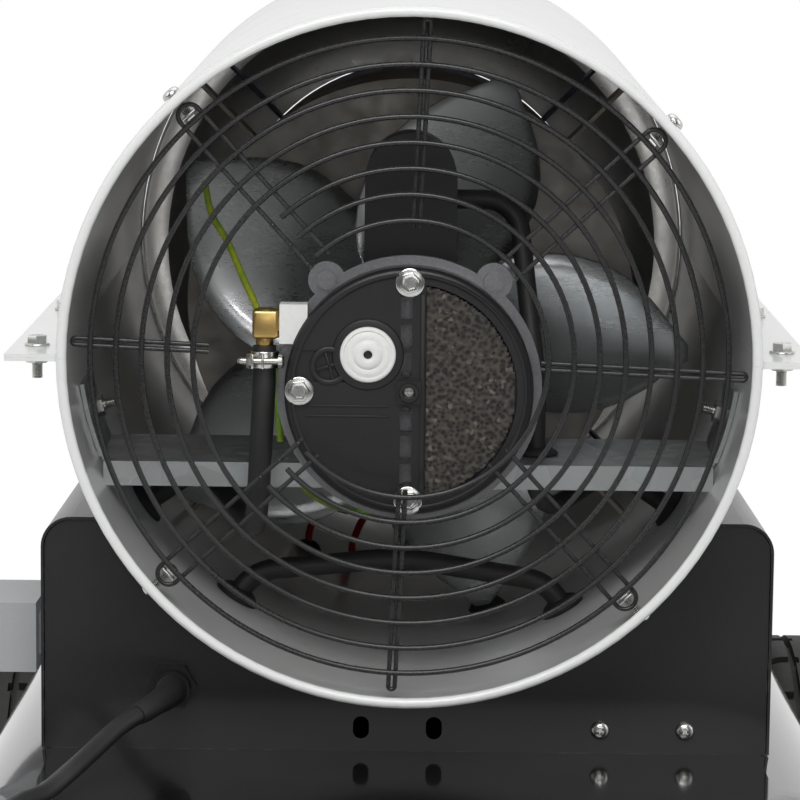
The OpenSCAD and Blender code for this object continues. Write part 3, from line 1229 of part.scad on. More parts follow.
hub_out_d = 36;
hub_in = 4;
washer_t = 2;
cap_out_d = 26;
tyre_bead_in = 5;
tyre_shoulder_r = 13;
lugs = 22;
lug_w = 7;
lug_depth = 6;
groove_w = 4;
rim_r = rim_d / 2;
rim_t = 2;
rim_lip = 5;
rim_holes = 6;
axle_end = axle_x + tyre_w - hub_in;
module at_axle() translate([0, rim_y + axle_in, wheel_r]) children();
module axle() color("#8f9193") at_axle() {
    translate([-axle_end, 0, 0]) rod_x(axle_d, 2 * axle_end);
    both_sides() {
        translate([axle_end + slit, 0, 0]) rod_x(cap_out_d, washer_t);
        translate([axle_end - slit, 0, 0]) rod_x(axle_d, washer_t);
        translate([axle_x + hub_in - slit - washer_t, 0, 0]) rod_x(cap_out_d, washer_t);
    }
}
module wheel_rim() at_axle() translate([axle_x, 0, 0]) along_x() difference() {
    rotate_extrude() {
        translate([0, hub_in]) square([hub_out_d / 2, tyre_w - 2 * hub_in]);
        translate([0, tyre_w / 2 - rim_t / 2]) square([rim_r - rim_t / 2, rim_t]);
        translate([rim_r - rim_t, tyre_bead_in - rim_t]) square([rim_t, tyre_w - 2 * tyre_bead_in + 2 * rim_t]);
        for (z = [tyre_bead_in - rim_t, tyre_w - tyre_bead_in]) translate([rim_r - rim_t, z])
            square([rim_t + rim_lip, rim_t]);
    }
    translate([0, 0, -cut]) cylinder(d = axle_d + 2 * axle_fit, h = tyre_w + 2 * cut);
    for (i = [0:rim_holes - 1]) rotate(i * 360 / rim_holes) translate([0.6 * rim_r, 0, 0])
        cylinder(d = 0.32 * rim_r, h = tyre_w);
}
module tyre() at_axle() translate([axle_x, 0, 0]) along_x() difference() {
    rotate_extrude() {
        translate([rim_r + slit, tyre_bead_in + slit])
            square([2 * rim_lip + tyre_shoulder_r, tyre_w - 2 * tyre_bead_in - 2 * slit]);
        translate([(rim_r + rim_lip + rim_t + wheel_r) / 2, tyre_w / 2])
            round_rect(wheel_r - rim_r - rim_lip - rim_t, tyre_w, tyre_shoulder_r);
    }
    for (z = [1 / 3, 2 / 3]) translate([0, 0, z * tyre_w - groove_w / 2])
        ring(wheel_d + 2 * cut, wheel_d - 2 * lug_depth, groove_w);
    for (i = [0:lugs - 1], s = [0, 1]) rotate((i + s / 2) * 360 / lugs)
        translate([wheel_r - lug_depth, -lug_w / 2, s == 0 ? -cut : 2 * tyre_w / 3 - groove_w])
            cube([lug_depth + cut, lug_w, tyre_w / 3 + groove_w + cut]);
}
module rim_right() color("#c9cbcc") wheel_rim();
module rim_left() color("#c9cbcc") mirror([1, 0, 0]) wheel_rim();
module tyre_right() color("#1b1b1c") tyre();
module tyre_left() color("#1b1b1c") mirror([1, 0, 0]) tyre();

upper_shell();
lower_shell();
flange_screws();
outlet_nose();
fan_guard();
guard_screws();
fan();
motor_shaft();
motor_housing();
capacitor();
motor_bracket();
bracket_bolts();
filter_cover();
foam_filter();
gauge_plug();
pressure_adjuster();
cover_screws();
pump_plate();
pump_body();
pump_rotor();
air_block();
air_elbow();
hose_clip();
air_hose();
motor_lead();
cable_loop();
grommets();
burner_head();
nozzle();
electrodes();
combustion_chamber();
flame_disc();
fuel_hose();
rear_panel();
front_panel();
side_covers();
cabinet_screws();
control_board();
ignition_transformer();
control_fascia();
rocker_switch();
thermostat_knob();
socket_box();
socket_lid();
cord_gland();
power_cord();
cord_coil();
plug();
tank_top();
tank_bottom();
fuel_cap();
fuel_gauge();
chassis();
handle_grip();
feet();
axle();
rim_left();
rim_right();
tyre_left();
tyre_right();
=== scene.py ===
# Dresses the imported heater: finishes for every part, cords, hoses, fasteners and small fittings.
import math

import bmesh
import bpy
from mathutils import Matrix, Vector, noise


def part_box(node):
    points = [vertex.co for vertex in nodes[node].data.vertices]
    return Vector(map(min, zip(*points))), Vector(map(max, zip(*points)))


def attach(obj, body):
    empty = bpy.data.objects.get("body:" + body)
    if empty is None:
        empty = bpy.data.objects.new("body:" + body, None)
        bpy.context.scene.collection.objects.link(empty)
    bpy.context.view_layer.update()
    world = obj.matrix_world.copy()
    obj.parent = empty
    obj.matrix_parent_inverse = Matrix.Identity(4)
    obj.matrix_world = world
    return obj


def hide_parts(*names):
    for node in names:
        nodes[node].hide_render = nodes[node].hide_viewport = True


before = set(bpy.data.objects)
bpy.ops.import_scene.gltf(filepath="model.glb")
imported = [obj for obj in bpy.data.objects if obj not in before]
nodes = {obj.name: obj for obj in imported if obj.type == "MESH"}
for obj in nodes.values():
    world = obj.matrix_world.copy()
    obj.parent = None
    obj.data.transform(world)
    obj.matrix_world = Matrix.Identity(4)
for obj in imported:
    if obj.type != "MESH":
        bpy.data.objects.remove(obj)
scene = bpy.context.scene
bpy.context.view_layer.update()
scene.view_settings.view_transform = "Standard"

# Places are given from the rear rim as x, depth and height over the shell axis, in millimetres.
mm = 0.001
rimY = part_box("lower_shell")[0].y
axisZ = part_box("upper_shell")[0].z
axisHeight = 485
shell = {"rearRadius": 148.5, "flare": 25, "length": 690, "sheet": 1.5, "clear": 0.3,
         "flangeRear": 170.5, "flangeFlare": 17}


def place(x, depth, height):
    return Vector((x * mm, rimY + depth * mm, axisZ + height * mm))


def placed(x, depth, height):
    return Matrix.Translation(place(x, depth, height))


def shifted(matrix, x, y, z):
    return matrix @ Matrix.Translation((x * mm, y * mm, z * mm))


def spun(turn, axis="Z"):
    return Matrix.Rotation(turn, 4, axis)


def shellRadius(depth):
    return shell["rearRadius"] + shell["flare"] * depth / shell["length"]


def flangeEdge(depth):
    return shell["flangeRear"] + shell["flangeFlare"] * depth / shell["length"]


def onShell(angle, depth, radius):
    turn = math.radians(angle)
    return place(radius * math.cos(turn), depth, radius * math.sin(turn))


def outward(angle):
    turn = math.radians(angle)
    return Vector((math.cos(turn), 0, math.sin(turn)))


def facingOut(angle, depth, radius):
    return frameAt(onShell(angle, depth, radius), outward(angle))


def facingIn(angle, depth, radius):
    return frameAt(onShell(angle, depth, radius), -outward(angle))


# Node groups that several finishes share. A number as a key is a socket's place. In Mix 0 is the factor,
# 2 and 3 are the values and 6 and 7 the colours. In MapRange 0 is the value, 1 and 2 are its range, and
# 3 and 4 the range it becomes. In Math and VectorMath 0 to 2 are the operands and 3 is a scale.
def addNode(tree, kind, inputs=None, **settings):
    node = tree.nodes.new("ShaderNode" + kind)
    for key, value in settings.items():
        setattr(node, key, value)
    for key, value in (inputs or {}).items():
        if isinstance(value, bpy.types.NodeSocket):
            tree.links.new(value, node.inputs[key])
        else:
            node.inputs[key].default_value = value
    return node


def newGroup(name, inputs, outputs):
    group = bpy.data.node_groups.new(name, "ShaderNodeTree")
    for label, kind, value in inputs:
        socket = group.interface.new_socket(name=label, in_out="INPUT", socket_type="NodeSocket" + kind)
        socket.default_value = value
    for label, kind in outputs:
        group.interface.new_socket(name=label, in_out="OUTPUT", socket_type="NodeSocket" + kind)
    return group, group.nodes.new("NodeGroupInput").outputs, group.nodes.new("NodeGroupOutput").inputs


baseInputs = [("Color", "Color", (0.5, 0.5, 0.5, 1)), ("Second Color", "Color", (0.4, 0.4, 0.4, 1)),
              ("Scale", "Float", 60.0), ("Stretch", "Vector", (1, 1, 1)),
              ("Smooth", "Float", 0.3), ("Rough", "Float", 0.5)]
baseOutputs = [("Color", "Color"), ("Roughness", "Float"), ("Height", "Float")]


def objectPoint(group, stretch):
    where = addNode(group, "TexCoord").outputs["Object"]
    return addNode(group, "Mapping", {"Vector": where, "Scale": stretch}).outputs[0]


def finishGroup(group, given, out, mask, height):
    mixed = addNode(group, "Mix", {0: mask, 6: given["Color"], 7: given["Second Color"]}, data_type="RGBA")
    rough = addNode(group, "MapRange", {0: mask, 3: given["Smooth"], 4: given["Rough"]})
    for label, socket in (("Color", mixed.outputs[2]), ("Roughness", rough.outputs[0]), ("Height", height)):
        group.links.new(socket, out[label])
    return group


def grainGroup():
    group, given, out = newGroup("surfaceGrain", baseInputs, baseOutputs)
    point = objectPoint(group, given["Stretch"])
    fine = addNode(group, "TexNoise", {"Vector": point, "Scale": given["Scale"], "Detail": 6.0,
                                       "Roughness": 0.62})
    broad = addNode(group, "TexNoise", {"Vector": point, "Scale": 9.0, "Detail": 2.0})
    both = addNode(group, "Math", {0: fine.outputs[0], 1: broad.outputs[0]}, operation="ADD")
    mask = addNode(group, "MapRange", {0: both.outputs[0], 1: 0.72, 2: 1.28})
    return finishGroup(group, given, out, mask.outputs[0], fine.outputs[0])


def spangleGroup():
    group, given, out = newGroup("zincSpangle", baseInputs, baseOutputs)
    point = objectPoint(group, given["Stretch"])
    bent = addNode(group, "TexNoise", {"Vector": point, "Scale": 120.0, "Detail": 2.0})
    moved = addNode(group, "VectorMath", {0: bent.outputs[1], 3: 0.006}, operation="SCALE")
    where = addNode(group, "VectorMath", {0: point, 1: moved.outputs[0]}, operation="ADD")
    cells = addNode(group, "TexVoronoi", {"Vector": where.outputs[0], "Scale": given["Scale"]})
    split = addNode(group, "SeparateColor", {0: cells.outputs["Color"]})
    return finishGroup(group, given, out, split.outputs[0], split.outputs[1])


def foamGroup():
    group, given, out = newGroup("foamCellsPaintedShadeAndGlints", baseInputs, baseOutputs)
    point = objectPoint(group, given["Stretch"])
    cells = addNode(group, "TexVoronoi", {"Vector": point, "Scale": given["Scale"]}, feature="SMOOTH_F1")
    # Random bright flecks of the second colour are painted glints, a painted highlight on the foam.
    paintedGlints = addNode(group, "TexVoronoi", {"Vector": point, "Scale": 620.0})
    split = addNode(group, "SeparateColor", {0: paintedGlints.outputs["Color"]})
    lit = addNode(group, "MapRange", {0: split.outputs[0], 1: 0.9, 2: 1.0, 4: 1.0})
    # The walls take up to 0.45 of the second colour and the cell centres keep the dark one: painted shade in
    # the pores.
    walls = addNode(group, "MapRange", {0: cells.outputs["Distance"], 1: 0.25, 2: 0.62, 4: 0.45})
    mask = addNode(group, "Math", {0: lit.outputs[0], 1: walls.outputs[0]}, operation="MAXIMUM")
    return finishGroup(group, given, out, mask.outputs[0], cells.outputs["Distance"])


def ringGroup():
    group, given, out = newGroup("turnedRings", baseInputs, baseOutputs)
    point = objectPoint(group, given["Stretch"])
    rings = addNode(group, "TexNoise", {"Vector": point, "Scale": given["Scale"], "Detail": 4.0})
    return finishGroup(group, given, out, rings.outputs[0], rings.outputs[0])


def rubGroup():
    group, given, out = newGroup("edgeRub", [("Radius", "Float", 0.0012), ("Scale", "Float", 160.0)],
                                 [("Mask", "Float")])
    plain = addNode(group, "NewGeometry").outputs["Normal"]
    softened = addNode(group, "Bevel", {"Radius": given["Radius"]}, samples=4).outputs[0]
    same = addNode(group, "VectorMath", {0: plain, 1: softened}, operation="DOT_PRODUCT").outputs["Value"]
    edge = addNode(group, "MapRange", {0: same, 1: 0.985, 2: 0.8, 3: 0.0, 4: 1.0}).outputs[0]
    where = addNode(group, "TexCoord").outputs["Object"]
    chips = addNode(group, "TexNoise", {"Vector": where, "Scale": given["Scale"], "Detail": 4.0}).outputs[0]
    some = addNode(group, "MapRange", {0: chips, 1: 0.5, 2: 0.66}).outputs[0]
    mask = addNode(group, "Math", {0: edge, 1: some}, operation="MULTIPLY").outputs[0]
    group.links.new(mask, out["Mask"])
    return group


def dustGroup():
    group, given, out = newGroup("settledDust", [("Amount", "Float", 0.2), ("Scale", "Float", 30.0)],
                                 [("Mask", "Float")])
    normal = addNode(group, "NewGeometry").outputs["Normal"]
    up = addNode(group, "SeparateXYZ", {0: normal}).outputs[2]
    level = addNode(group, "MapRange", {0: up, 1: 0.35, 2: 1.0}).outputs[0]
    where = addNode(group, "TexCoord").outputs["Object"]
    drift = addNode(group, "TexNoise", {"Vector": where, "Scale": given["Scale"], "Detail": 8.0,
                                        "Roughness": 0.7}).outputs[0]
    patchy = addNode(group, "MapRange", {0: drift, 1: 0.38, 2: 0.75}).outputs[0]
    both = addNode(group, "Math", {0: level, 1: patchy}, operation="MULTIPLY").outputs[0]
    mask = addNode(group, "Math", {0: both, 1: given["Amount"]}, operation="MULTIPLY").outputs[0]
    group.links.new(mask, out["Mask"])
    return group


def heatGroup():
    group, given, out = newGroup("heatTint", [("Start", "Float", 0.0), ("End", "Float", 0.1)],
                                 [("Color", "Color"), ("Mask", "Float")])
    where = addNode(group, "TexCoord").outputs["Object"]
    along = addNode(group, "SeparateXYZ", {0: where}).outputs[1]
    waver = addNode(group, "TexNoise", {"Vector": where, "Scale": 14.0, "Detail": 3.0}).outputs[0]
    shift = addNode(group, "Math", {0: waver, 1: 0.05, 2: along}, operation="MULTIPLY_ADD").outputs[0]
    share = addNode(group, "MapRange", {0: shift, 1: given["Start"], 2: given["End"]}).outputs[0]
    ramp = addNode(group, "ValToRGB", {0: share})
    bands = ramp.color_ramp.elements
    for spot, color in ((0.0, (0.30, 0.29, 0.27, 1)), (1.0, (0.13, 0.13, 0.15, 1))):
        bands[int(spot)].position, bands[int(spot)].color = spot, color
    for spot, color in ((0.3, (0.36, 0.27, 0.14, 1)), (0.52, (0.24, 0.11, 0.09, 1)),
                        (0.72, (0.09, 0.10, 0.22, 1))):
        bands.new(spot).color = color
    group.links.new(ramp.outputs[0], out["Color"])
    group.links.new(share, out["Mask"])
    return group


patterns = {"grain": grainGroup(), "spangle": spangleGroup(), "foam": foamGroup(), "rings": ringGroup()}
rubbed, dusty, heated = rubGroup(), dustGroup(), heatGroup()
wear = {"heatShare": 0.75, "rubRough": 0.35, "dustColor": (0.34, 0.33, 0.31, 1), "dustRough": 0.9}


def useGroup(tree, group, values):
    node = tree.nodes.new("ShaderNodeGroup")
    node.node_tree = group
    for key, value in values.items():
        node.inputs[key].default_value = value
    return node


def blendColor(tree, mask, first, second):
    return addNode(tree, "Mix", {0: mask, 6: first, 7: second}, data_type="RGBA").outputs[2]


def makeFinish(name, look):
    material = bpy.data.materials.new(name)
    material.use_nodes = True
    tree = material.node_tree
    tree.nodes.clear()
    fixed = {"Metallic": look.get("metallic", 0.0), "Coat Weight": look.get("coat", 0.0),
             "Coat Roughness": look.get("coatRough", 0.05), "Specular IOR Level": look.get("specular", 0.5),
             "Anisotropic": look.get("brushed", 0.0), "Sheen Weight": look.get("sheen", 0.0)}
    shader = addNode(tree, "BsdfPrincipled", fixed)
    addNode(tree, "OutputMaterial", {"Surface": shader.outputs[0]})
    second = look.get("second", [0.8 * part for part in look["color"]])
    base = useGroup(tree, patterns[look.get("pattern", "grain")], {
        "Color": (*look["color"], 1), "Second Color": (*second, 1), "Scale": look.get("scale", 60.0),
        "Stretch": look.get("stretch", (1, 1, 1)), "Smooth": look["rough"][0], "Rough": look["rough"][1]})
    color, rough = base.outputs["Color"], base.outputs["Roughness"]
    if "heat" in look:
        tint = useGroup(tree, heated, {"Start": look["heat"][0], "End": look["heat"][1]})
        color = blendColor(tree, wear["heatShare"], color, tint.outputs["Color"])
    if "rub" in look:
        mask = useGroup(tree, rubbed, {"Radius": look.get("rubWidth", 0.0008)}).outputs["Mask"]
        color = blendColor(tree, mask, color, (*look["rub"], 1))
        rough = addNode(tree, "Mix", {0: mask, 2: rough, 3: wear["rubRough"]}).outputs[0]
    if "dust" in look:
        mask = useGroup(tree, dusty, {"Amount": look["dust"]}).outputs["Mask"]
        color = blendColor(tree, mask, color, wear["dustColor"])
        rough = addNode(tree, "Mix", {0: mask, 2: rough, 3: wear["dustRough"]}).outputs[0]
    bump = addNode(tree, "Bump", {"Height": base.outputs["Height"], "Strength": look.get("bump", 0.1),
                                  "Distance": look.get("depth", 0.0002)})
    for label, socket in (("Base Color", color), ("Roughness", rough), ("Normal", bump.outputs[0])):
        tree.links.new(socket, shader.inputs[label])
    return material


looks = {
    "shellPaint": {"color": (0.78, 0.79, 0.78), "second": (0.74, 0.75, 0.74), "scale": 420,
        "rough": (0.2, 0.27), "coat": 0.35, "bump": 0.05, "rub": (0.55, 0.55, 0.54), "rubWidth": 0.0006},
    "blackWire": {"color": (0.012, 0.012, 0.013), "second": (0.022, 0.022, 0.023), "scale": 900,
        "rough": (0.22, 0.34), "bump": 0.12},
    "zincPlate": {"color": (0.62, 0.63, 0.62), "second": (0.50, 0.50, 0.47), "scale": 300,
        "rough": (0.16, 0.3), "metallic": 1.0, "bump": 0.1},
    "galvanised": {"pattern": "spangle", "color": (0.60, 0.62, 0.62), "second": (0.46, 0.48, 0.49),
        "scale": 90, "rough": (0.28, 0.5), "metallic": 1.0, "bump": 0.12},
    "bladeAluminium": {"color": (0.74, 0.75, 0.76), "second": (0.66, 0.67, 0.68), "scale": 300,
        "stretch": (1, 1, 6), "rough": (0.24, 0.36), "metallic": 1.0, "brushed": 0.3, "bump": 0.06},
    "castAluminium": {"color": (0.27, 0.27, 0.28), "second": (0.19, 0.19, 0.2), "scale": 700,
        "rough": (0.3, 0.48), "metallic": 1.0, "bump": 0.35},
    "turnedSteel": {"pattern": "rings", "color": (0.62, 0.61, 0.59), "second": (0.48, 0.47, 0.45),
        "scale": 900, "stretch": (0.02, 1, 0.02), "rough": (0.16, 0.34), "metallic": 1.0, "brushed": 0.5,
        "bump": 0.15},
    "motorPaint": {"color": (0.018, 0.018, 0.019), "second": (0.03, 0.03, 0.031), "scale": 500,
        "rough": (0.28, 0.42), "bump": 0.2},
    "mouldedBlack": {"color": (0.008, 0.008, 0.009), "second": (0.014, 0.014, 0.015), "scale": 1200,
        "rough": (0.3, 0.46), "specular": 0.4, "bump": 0.2},
    # The foam's second colour is the tone of its painted glints and of the cell walls; the darker cell
    # centres are painted shade in the pores.
    "foam": {"pattern": "foam", "color": (0.012, 0.011, 0.010), "second": (0.13, 0.115, 0.095), "scale": 520,
        "rough": (0.85, 0.95), "sheen": 0.1, "bump": 1.0, "depth": 0.0012},
    "whiteNylon": {"color": (0.80, 0.80, 0.78), "second": (0.72, 0.72, 0.70), "scale": 400,
        "rough": (0.35, 0.5), "bump": 0.08},
    "brass": {"color": (0.66, 0.46, 0.17), "second": (0.50, 0.33, 0.12), "scale": 260, "rough": (0.2, 0.4),
        "metallic": 1.0, "bump": 0.12},
    "hoseRubber": {"color": (0.012, 0.012, 0.012), "second": (0.024, 0.023, 0.022), "scale": 700,
        "rough": (0.42, 0.6), "bump": 0.25},
    "grommetRubber": {"color": (0.010, 0.010, 0.010), "second": (0.02, 0.02, 0.02), "scale": 900,
        "rough": (0.5, 0.7), "bump": 0.3},
    "scaleSteel": {"color": (0.30, 0.28, 0.26), "second": (0.17, 0.15, 0.14), "scale": 90,
        "rough": (0.4, 0.65), "metallic": 1.0, "bump": 0.2, "heat": (0.02, 0.42)},
    "noseSteel": {"color": (0.58, 0.57, 0.55), "second": (0.5, 0.49, 0.47), "scale": 160,
        "rough": (0.24, 0.4), "metallic": 1.0, "brushed": 0.3, "bump": 0.1},
    "ceramic": {"color": (0.80, 0.77, 0.70), "second": (0.7, 0.66, 0.58), "scale": 200, "rough": (0.2, 0.35),
        "coat": 0.4, "bump": 0.08},
    "cabinetPaint": {"color": (0.008, 0.008, 0.009), "second": (0.016, 0.016, 0.017), "scale": 1500,
        "rough": (0.30, 0.42), "coat": 0.3, "coatRough": 0.12, "specular": 0.4, "bump": 0.3, "dust": 0.05,
        "rub": (0.12, 0.12, 0.12), "rubWidth": 0.0005},
    "tankPaint": {"color": (0.008, 0.008, 0.009), "second": (0.012, 0.012, 0.013), "scale": 500,
        "rough": (0.07, 0.14), "coat": 0.6, "bump": 0.04, "dust": 0.02, "rub": (0.14, 0.14, 0.14),
        "rubWidth": 0.0006},
    "boardGreen": {"color": (0.03, 0.16, 0.07), "second": (0.05, 0.22, 0.1), "scale": 300,
        "rough": (0.25, 0.4), "bump": 0.1},
    "greyPlastic": {"color": (0.40, 0.41, 0.42), "second": (0.44, 0.45, 0.46), "scale": 1100,
        "rough": (0.38, 0.52), "bump": 0.25},
    "switchRed": {"color": (0.52, 0.035, 0.02), "second": (0.46, 0.03, 0.018), "scale": 400,
        "rough": (0.15, 0.25), "coat": 0.3, "bump": 0.05},
    "cordRubber": {"color": (0.014, 0.014, 0.014), "second": (0.024, 0.024, 0.024), "scale": 800,
        "rough": (0.38, 0.55), "bump": 0.2},
    "rimPaint": {"color": (0.52, 0.53, 0.54), "second": (0.47, 0.48, 0.49), "scale": 500,
        "rough": (0.22, 0.34), "coat": 0.3, "bump": 0.06, "rub": (0.4, 0.39, 0.38)},
    "tyreRubber": {"color": (0.013, 0.013, 0.013), "second": (0.03, 0.029, 0.027), "scale": 220,
        "rough": (0.6, 0.85), "bump": 0.35, "dust": 0.12},
    "earthWire": {"color": (0.62, 0.62, 0.03), "second": (0.05, 0.3, 0.04), "scale": 40, "stretch": (6, 6, 1),
        "rough": (0.35, 0.45), "bump": 0.05},
    "redWire": {"color": (0.5, 0.02, 0.015), "second": (0.4, 0.015, 0.012), "scale": 300,
        "rough": (0.35, 0.45), "bump": 0.05},
    "dialWhite": {"color": (0.78, 0.78, 0.76), "second": (0.72, 0.72, 0.7), "scale": 300, "rough": (0.4, 0.5),
        "bump": 0.04},
}
finishes = {name: makeFinish(name, look) for name, look in looks.items()}
print("finishes made:", len(finishes))

nodeFinish = {
    "shellPaint": "upper_shell lower_shell", "blackWire": "fan_guard",
    "zincPlate": "motor_shaft axle pressure_adjuster", "galvanised": "motor_bracket",
    "castAluminium": "pump_plate", "turnedSteel": "pump_body",
    "motorPaint": "motor_housing ignition_transformer",
    "mouldedBlack": "capacitor filter_cover cord_gland fuel_cap thermostat_knob control_fascia plug",
    "whiteNylon": "air_block fuel_gauge",
    "scaleSteel": "burner_head combustion_chamber flame_disc pump_rotor",
    "brass": "nozzle", "noseSteel": "outlet_nose", "ceramic": "electrodes",
    "cabinetPaint": "rear_panel front_panel side_covers", "tankPaint": "tank_top tank_bottom chassis",
    "boardGreen": "control_board", "greyPlastic": "socket_box socket_lid", "switchRed": "rocker_switch",
    "grommetRubber": "handle_grip feet", "rimPaint": "rim_left rim_right",
    "tyreRubber": "tyre_left tyre_right",
}
for finish, names in nodeFinish.items():
    for name in names.split():
        nodes[name].data.materials.clear()
        nodes[name].data.materials.append(finishes[finish])


# Making and placing pieces
def newPiece(name, bm, finish, body="heater", replaces=(), sharp=35):
    bmesh.ops.recalc_face_normals(bm, faces=bm.faces)
    mesh = bpy.data.meshes.new(name)
    bm.to_mesh(mesh)
    bm.free()
    mesh.materials.append(finishes[finish])
    mesh.shade_smooth()
    mesh.set_sharp_from_angle(angle=math.radians(sharp))
    piece = bpy.data.objects.new(name, mesh)
    scene.collection.objects.link(piece)
    return settle(piece, body, replaces)


def settle(piece, body, replaces=()):
    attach(piece, body)
    if replaces:
        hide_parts(*replaces)
    return piece


def tube(name, points, diameter, finish, body="heater", replaces=(), fineness=6):
    curve = bpy.data.curves.new(name, "CURVE")
    curve.dimensions = "3D"
    curve.bevel_depth = diameter * mm / 2
    curve.bevel_resolution = fineness
    curve.use_fill_caps = True
    spline = curve.splines.new("POLY")
    spline.points.add(len(points) - 1)
    for spot, point in zip(spline.points, points):
        spot.co = (*point, 1)
    curve.materials.append(finishes[finish])
    piece = bpy.data.objects.new(name, curve)
    scene.collection.objects.link(piece)
    return settle(piece, body, replaces)


def smoothed(points, steps):
    line = []
    for i in range(len(points) - 1):
        a, b, c, d = (points[min(max(k, 0), len(points) - 1)] for k in range(i - 1, i + 3))
        for k in range(steps):
            t = k / steps
            line.append(0.5 * (2 * b + (c - a) * t + (2 * a - 5 * b + 4 * c - d) * t * t
                               + (3 * b - a - 3 * c + d) * t ** 3))
    return line + [points[-1]]


def rounded(points, radii, steps=7):
    line = [points[0]]
    for i in range(1, len(points) - 1):
        b = points[i]
        u, v = (points[i - 1] - b).normalized(), (points[i + 1] - b).normalized()
        radius = (radii[i - 1] if isinstance(radii, (list, tuple)) else radii) * mm
        half = u.angle(v) / 2
        middle = b + (u + v).normalized() * radius / math.sin(half)
        e, f = b + u * radius / math.tan(half) - middle, b + v * radius / math.tan(half) - middle
        sweep = math.pi - 2 * half
        for k in range(steps + 1):
            t = k / steps
            line.append(middle + (e * math.sin((1 - t) * sweep) + f * math.sin(t * sweep)) / math.sin(sweep))
    return line + [points[-1]]


def frameAt(point, direction, side=None):
    up = direction.normalized()
    side = side or (Vector((1, 0, 0)) if abs(up.y) > 0.9 else Vector((0, 1, 0)))
    across = (side - up * side.dot(up)).normalized()
    turn = Matrix((across, up.cross(across), up)).transposed()
    return Matrix.Translation(point) @ turn.to_4x4()


def moveNew(bm, old, matrix):
    bmesh.ops.transform(bm, matrix=matrix, verts=[v for v in bm.verts if v not in old])


def lathe(bm, profile, matrix=Matrix(), steps=40):
    old = set(bm.verts)
    verts = [bm.verts.new((r * mm, 0, z * mm)) for r, z in profile]
    edges = [bm.edges.new(pair) for pair in zip(verts, verts[1:])]
    bmesh.ops.spin(bm, geom=verts + edges, cent=(0, 0, 0), axis=(0, 0, 1), angle=2 * math.pi, steps=steps,
                   use_merge=True)
    bmesh.ops.remove_doubles(bm, verts=[v for v in bm.verts if v not in old], dist=2e-6)
    moveNew(bm, old, matrix)


def block(bm, size, matrix=Matrix(), edge=0.0, segments=2):
    old = set(bm.verts)
    made = bmesh.ops.create_cube(bm, size=mm)["verts"]
    bmesh.ops.scale(bm, vec=size, verts=made)
    if edge:
        edges = list({e for v in made for e in v.link_edges})
        bmesh.ops.bevel(bm, geom=edges, offset=edge * mm, offset_type="OFFSET", segments=segments,
                        profile=0.5, affect="EDGES", material=-1)
    moveNew(bm, old, matrix)


def hexagon(bm, width, height, base, matrix=Matrix(), edge=0.5, both=False):
    old = set(bm.verts)
    radius = width * mm / math.sqrt(3)
    made = bmesh.ops.create_cone(bm, cap_ends=True, segments=6, radius1=radius, radius2=radius,
                                 depth=height * mm)["verts"]
    for end in (1, -1) if both else (1,):
        edges = {e for v in made if v.is_valid for e in v.link_edges}
        top = [e for e in edges if all(v.co.z * end > 0 for v in e.verts)]
        bmesh.ops.bevel(bm, geom=top, offset=edge * mm, offset_type="OFFSET", segments=2, profile=0.5,
                        affect="EDGES", material=-1)
    moveNew(bm, old, matrix @ Matrix.Translation((0, 0, (base + height / 2) * mm)))


threadLook = {"pitch": 0.8, "root": 0.86}


def thread(radius, start, end):
    line, z, deep = [], start, False
    while z > end:
        line.append((radius * (threadLook["root"] if deep else 1.0), z))
        deep = not deep
        z -= threadLook["pitch"] / 2
    return line + [(radius * threadLook["root"], end), (0, end)]


def asMesh(bm, name):
    bmesh.ops.recalc_face_normals(bm, faces=bm.faces)
    mesh = bpy.data.meshes.new(name)
    bm.to_mesh(mesh)
    bm.free()
    return mesh


def cutMesh(body, tool):
    pair = [bpy.data.objects.new(mesh.name, mesh) for mesh in (body, tool)]
    for piece in pair:
        scene.collection.objects.link(piece)
    change = pair[0].modifiers.new("recess", "BOOLEAN")
    change.operation, change.object, change.solver = "DIFFERENCE", pair[1], "EXACT"
    evaluated = pair[0].evaluated_get(bpy.context.evaluated_depsgraph_get())
    result = bpy.data.meshes.new_from_object(evaluated)
    for piece in pair:
        bpy.data.objects.remove(piece)
    return result


def stamp(bm, mesh, matrix):
    old = set(bm.verts)
    bm.from_mesh(mesh)
    moveNew(bm, old, matrix)


# The domed head's outline is in shares of its radius and height, the washer's in shares of its radius and
# millimetres of height.
domeShape = [(0, 1), (0.4, 0.985), (0.7, 0.86), (0.88, 0.62), (0.98, 0.28), (1, 0.1), (0.98, 0)]
washerShape = [(0, 1.2), (0.9, 1.15), (0.97, 0.9), (1, 0.5), (0.97, 0.05)]
recess = {"long": 0.62, "wide": 0.14, "tall": 1.3, "lift": 1.02, "taper": 0.35}
dish = {"rim": 0.16, "slope": 0.06}


def crossScrew(head, height, shank, length):
    bm = bmesh.new()
    profile = [(r * head / 2, z * height) for r, z in domeShape]
    lathe(bm, profile + [(shank / 2, 0)] + thread(shank / 2, -0.4, -length), steps=28)
    body = asMesh(bm, "screwBody")
    for turn in (0, math.pi / 2):
        tool = bmesh.new()
        block(tool, (recess["long"] * head, recess["wide"] * head, recess["tall"] * height))
        for v in tool.verts:
            if v.co.z < 0:
                v.co.x *= recess["taper"]
        moveNew(tool, set(), Matrix.Translation((0, 0, recess["lift"] * height * mm)) @ spun(turn))
        body = cutMesh(body, asMesh(tool, "screwTool"))
    return body


def hexScrew(washer, width, height, shank, length, dished=0.4):
    bm = bmesh.new()
    profile = [(r * washer / 2, z) for r, z in washerShape]
    lathe(bm, profile + [(shank / 2, 0)] + thread(shank / 2, -0.3, -length), steps=28)
    hexagon(bm, width, height - 1, 1)
    top = max((f for f in bm.faces if abs(f.normal.z) > 0.9), key=lambda f: f.calc_center_median().z)
    bmesh.ops.inset_region(bm, faces=[top], thickness=dish["rim"] * width * mm, depth=0)
    bmesh.ops.inset_region(bm, faces=[top], thickness=dish["slope"] * width * mm, depth=-dished * mm)
    return asMesh(bm, "hexScrew")


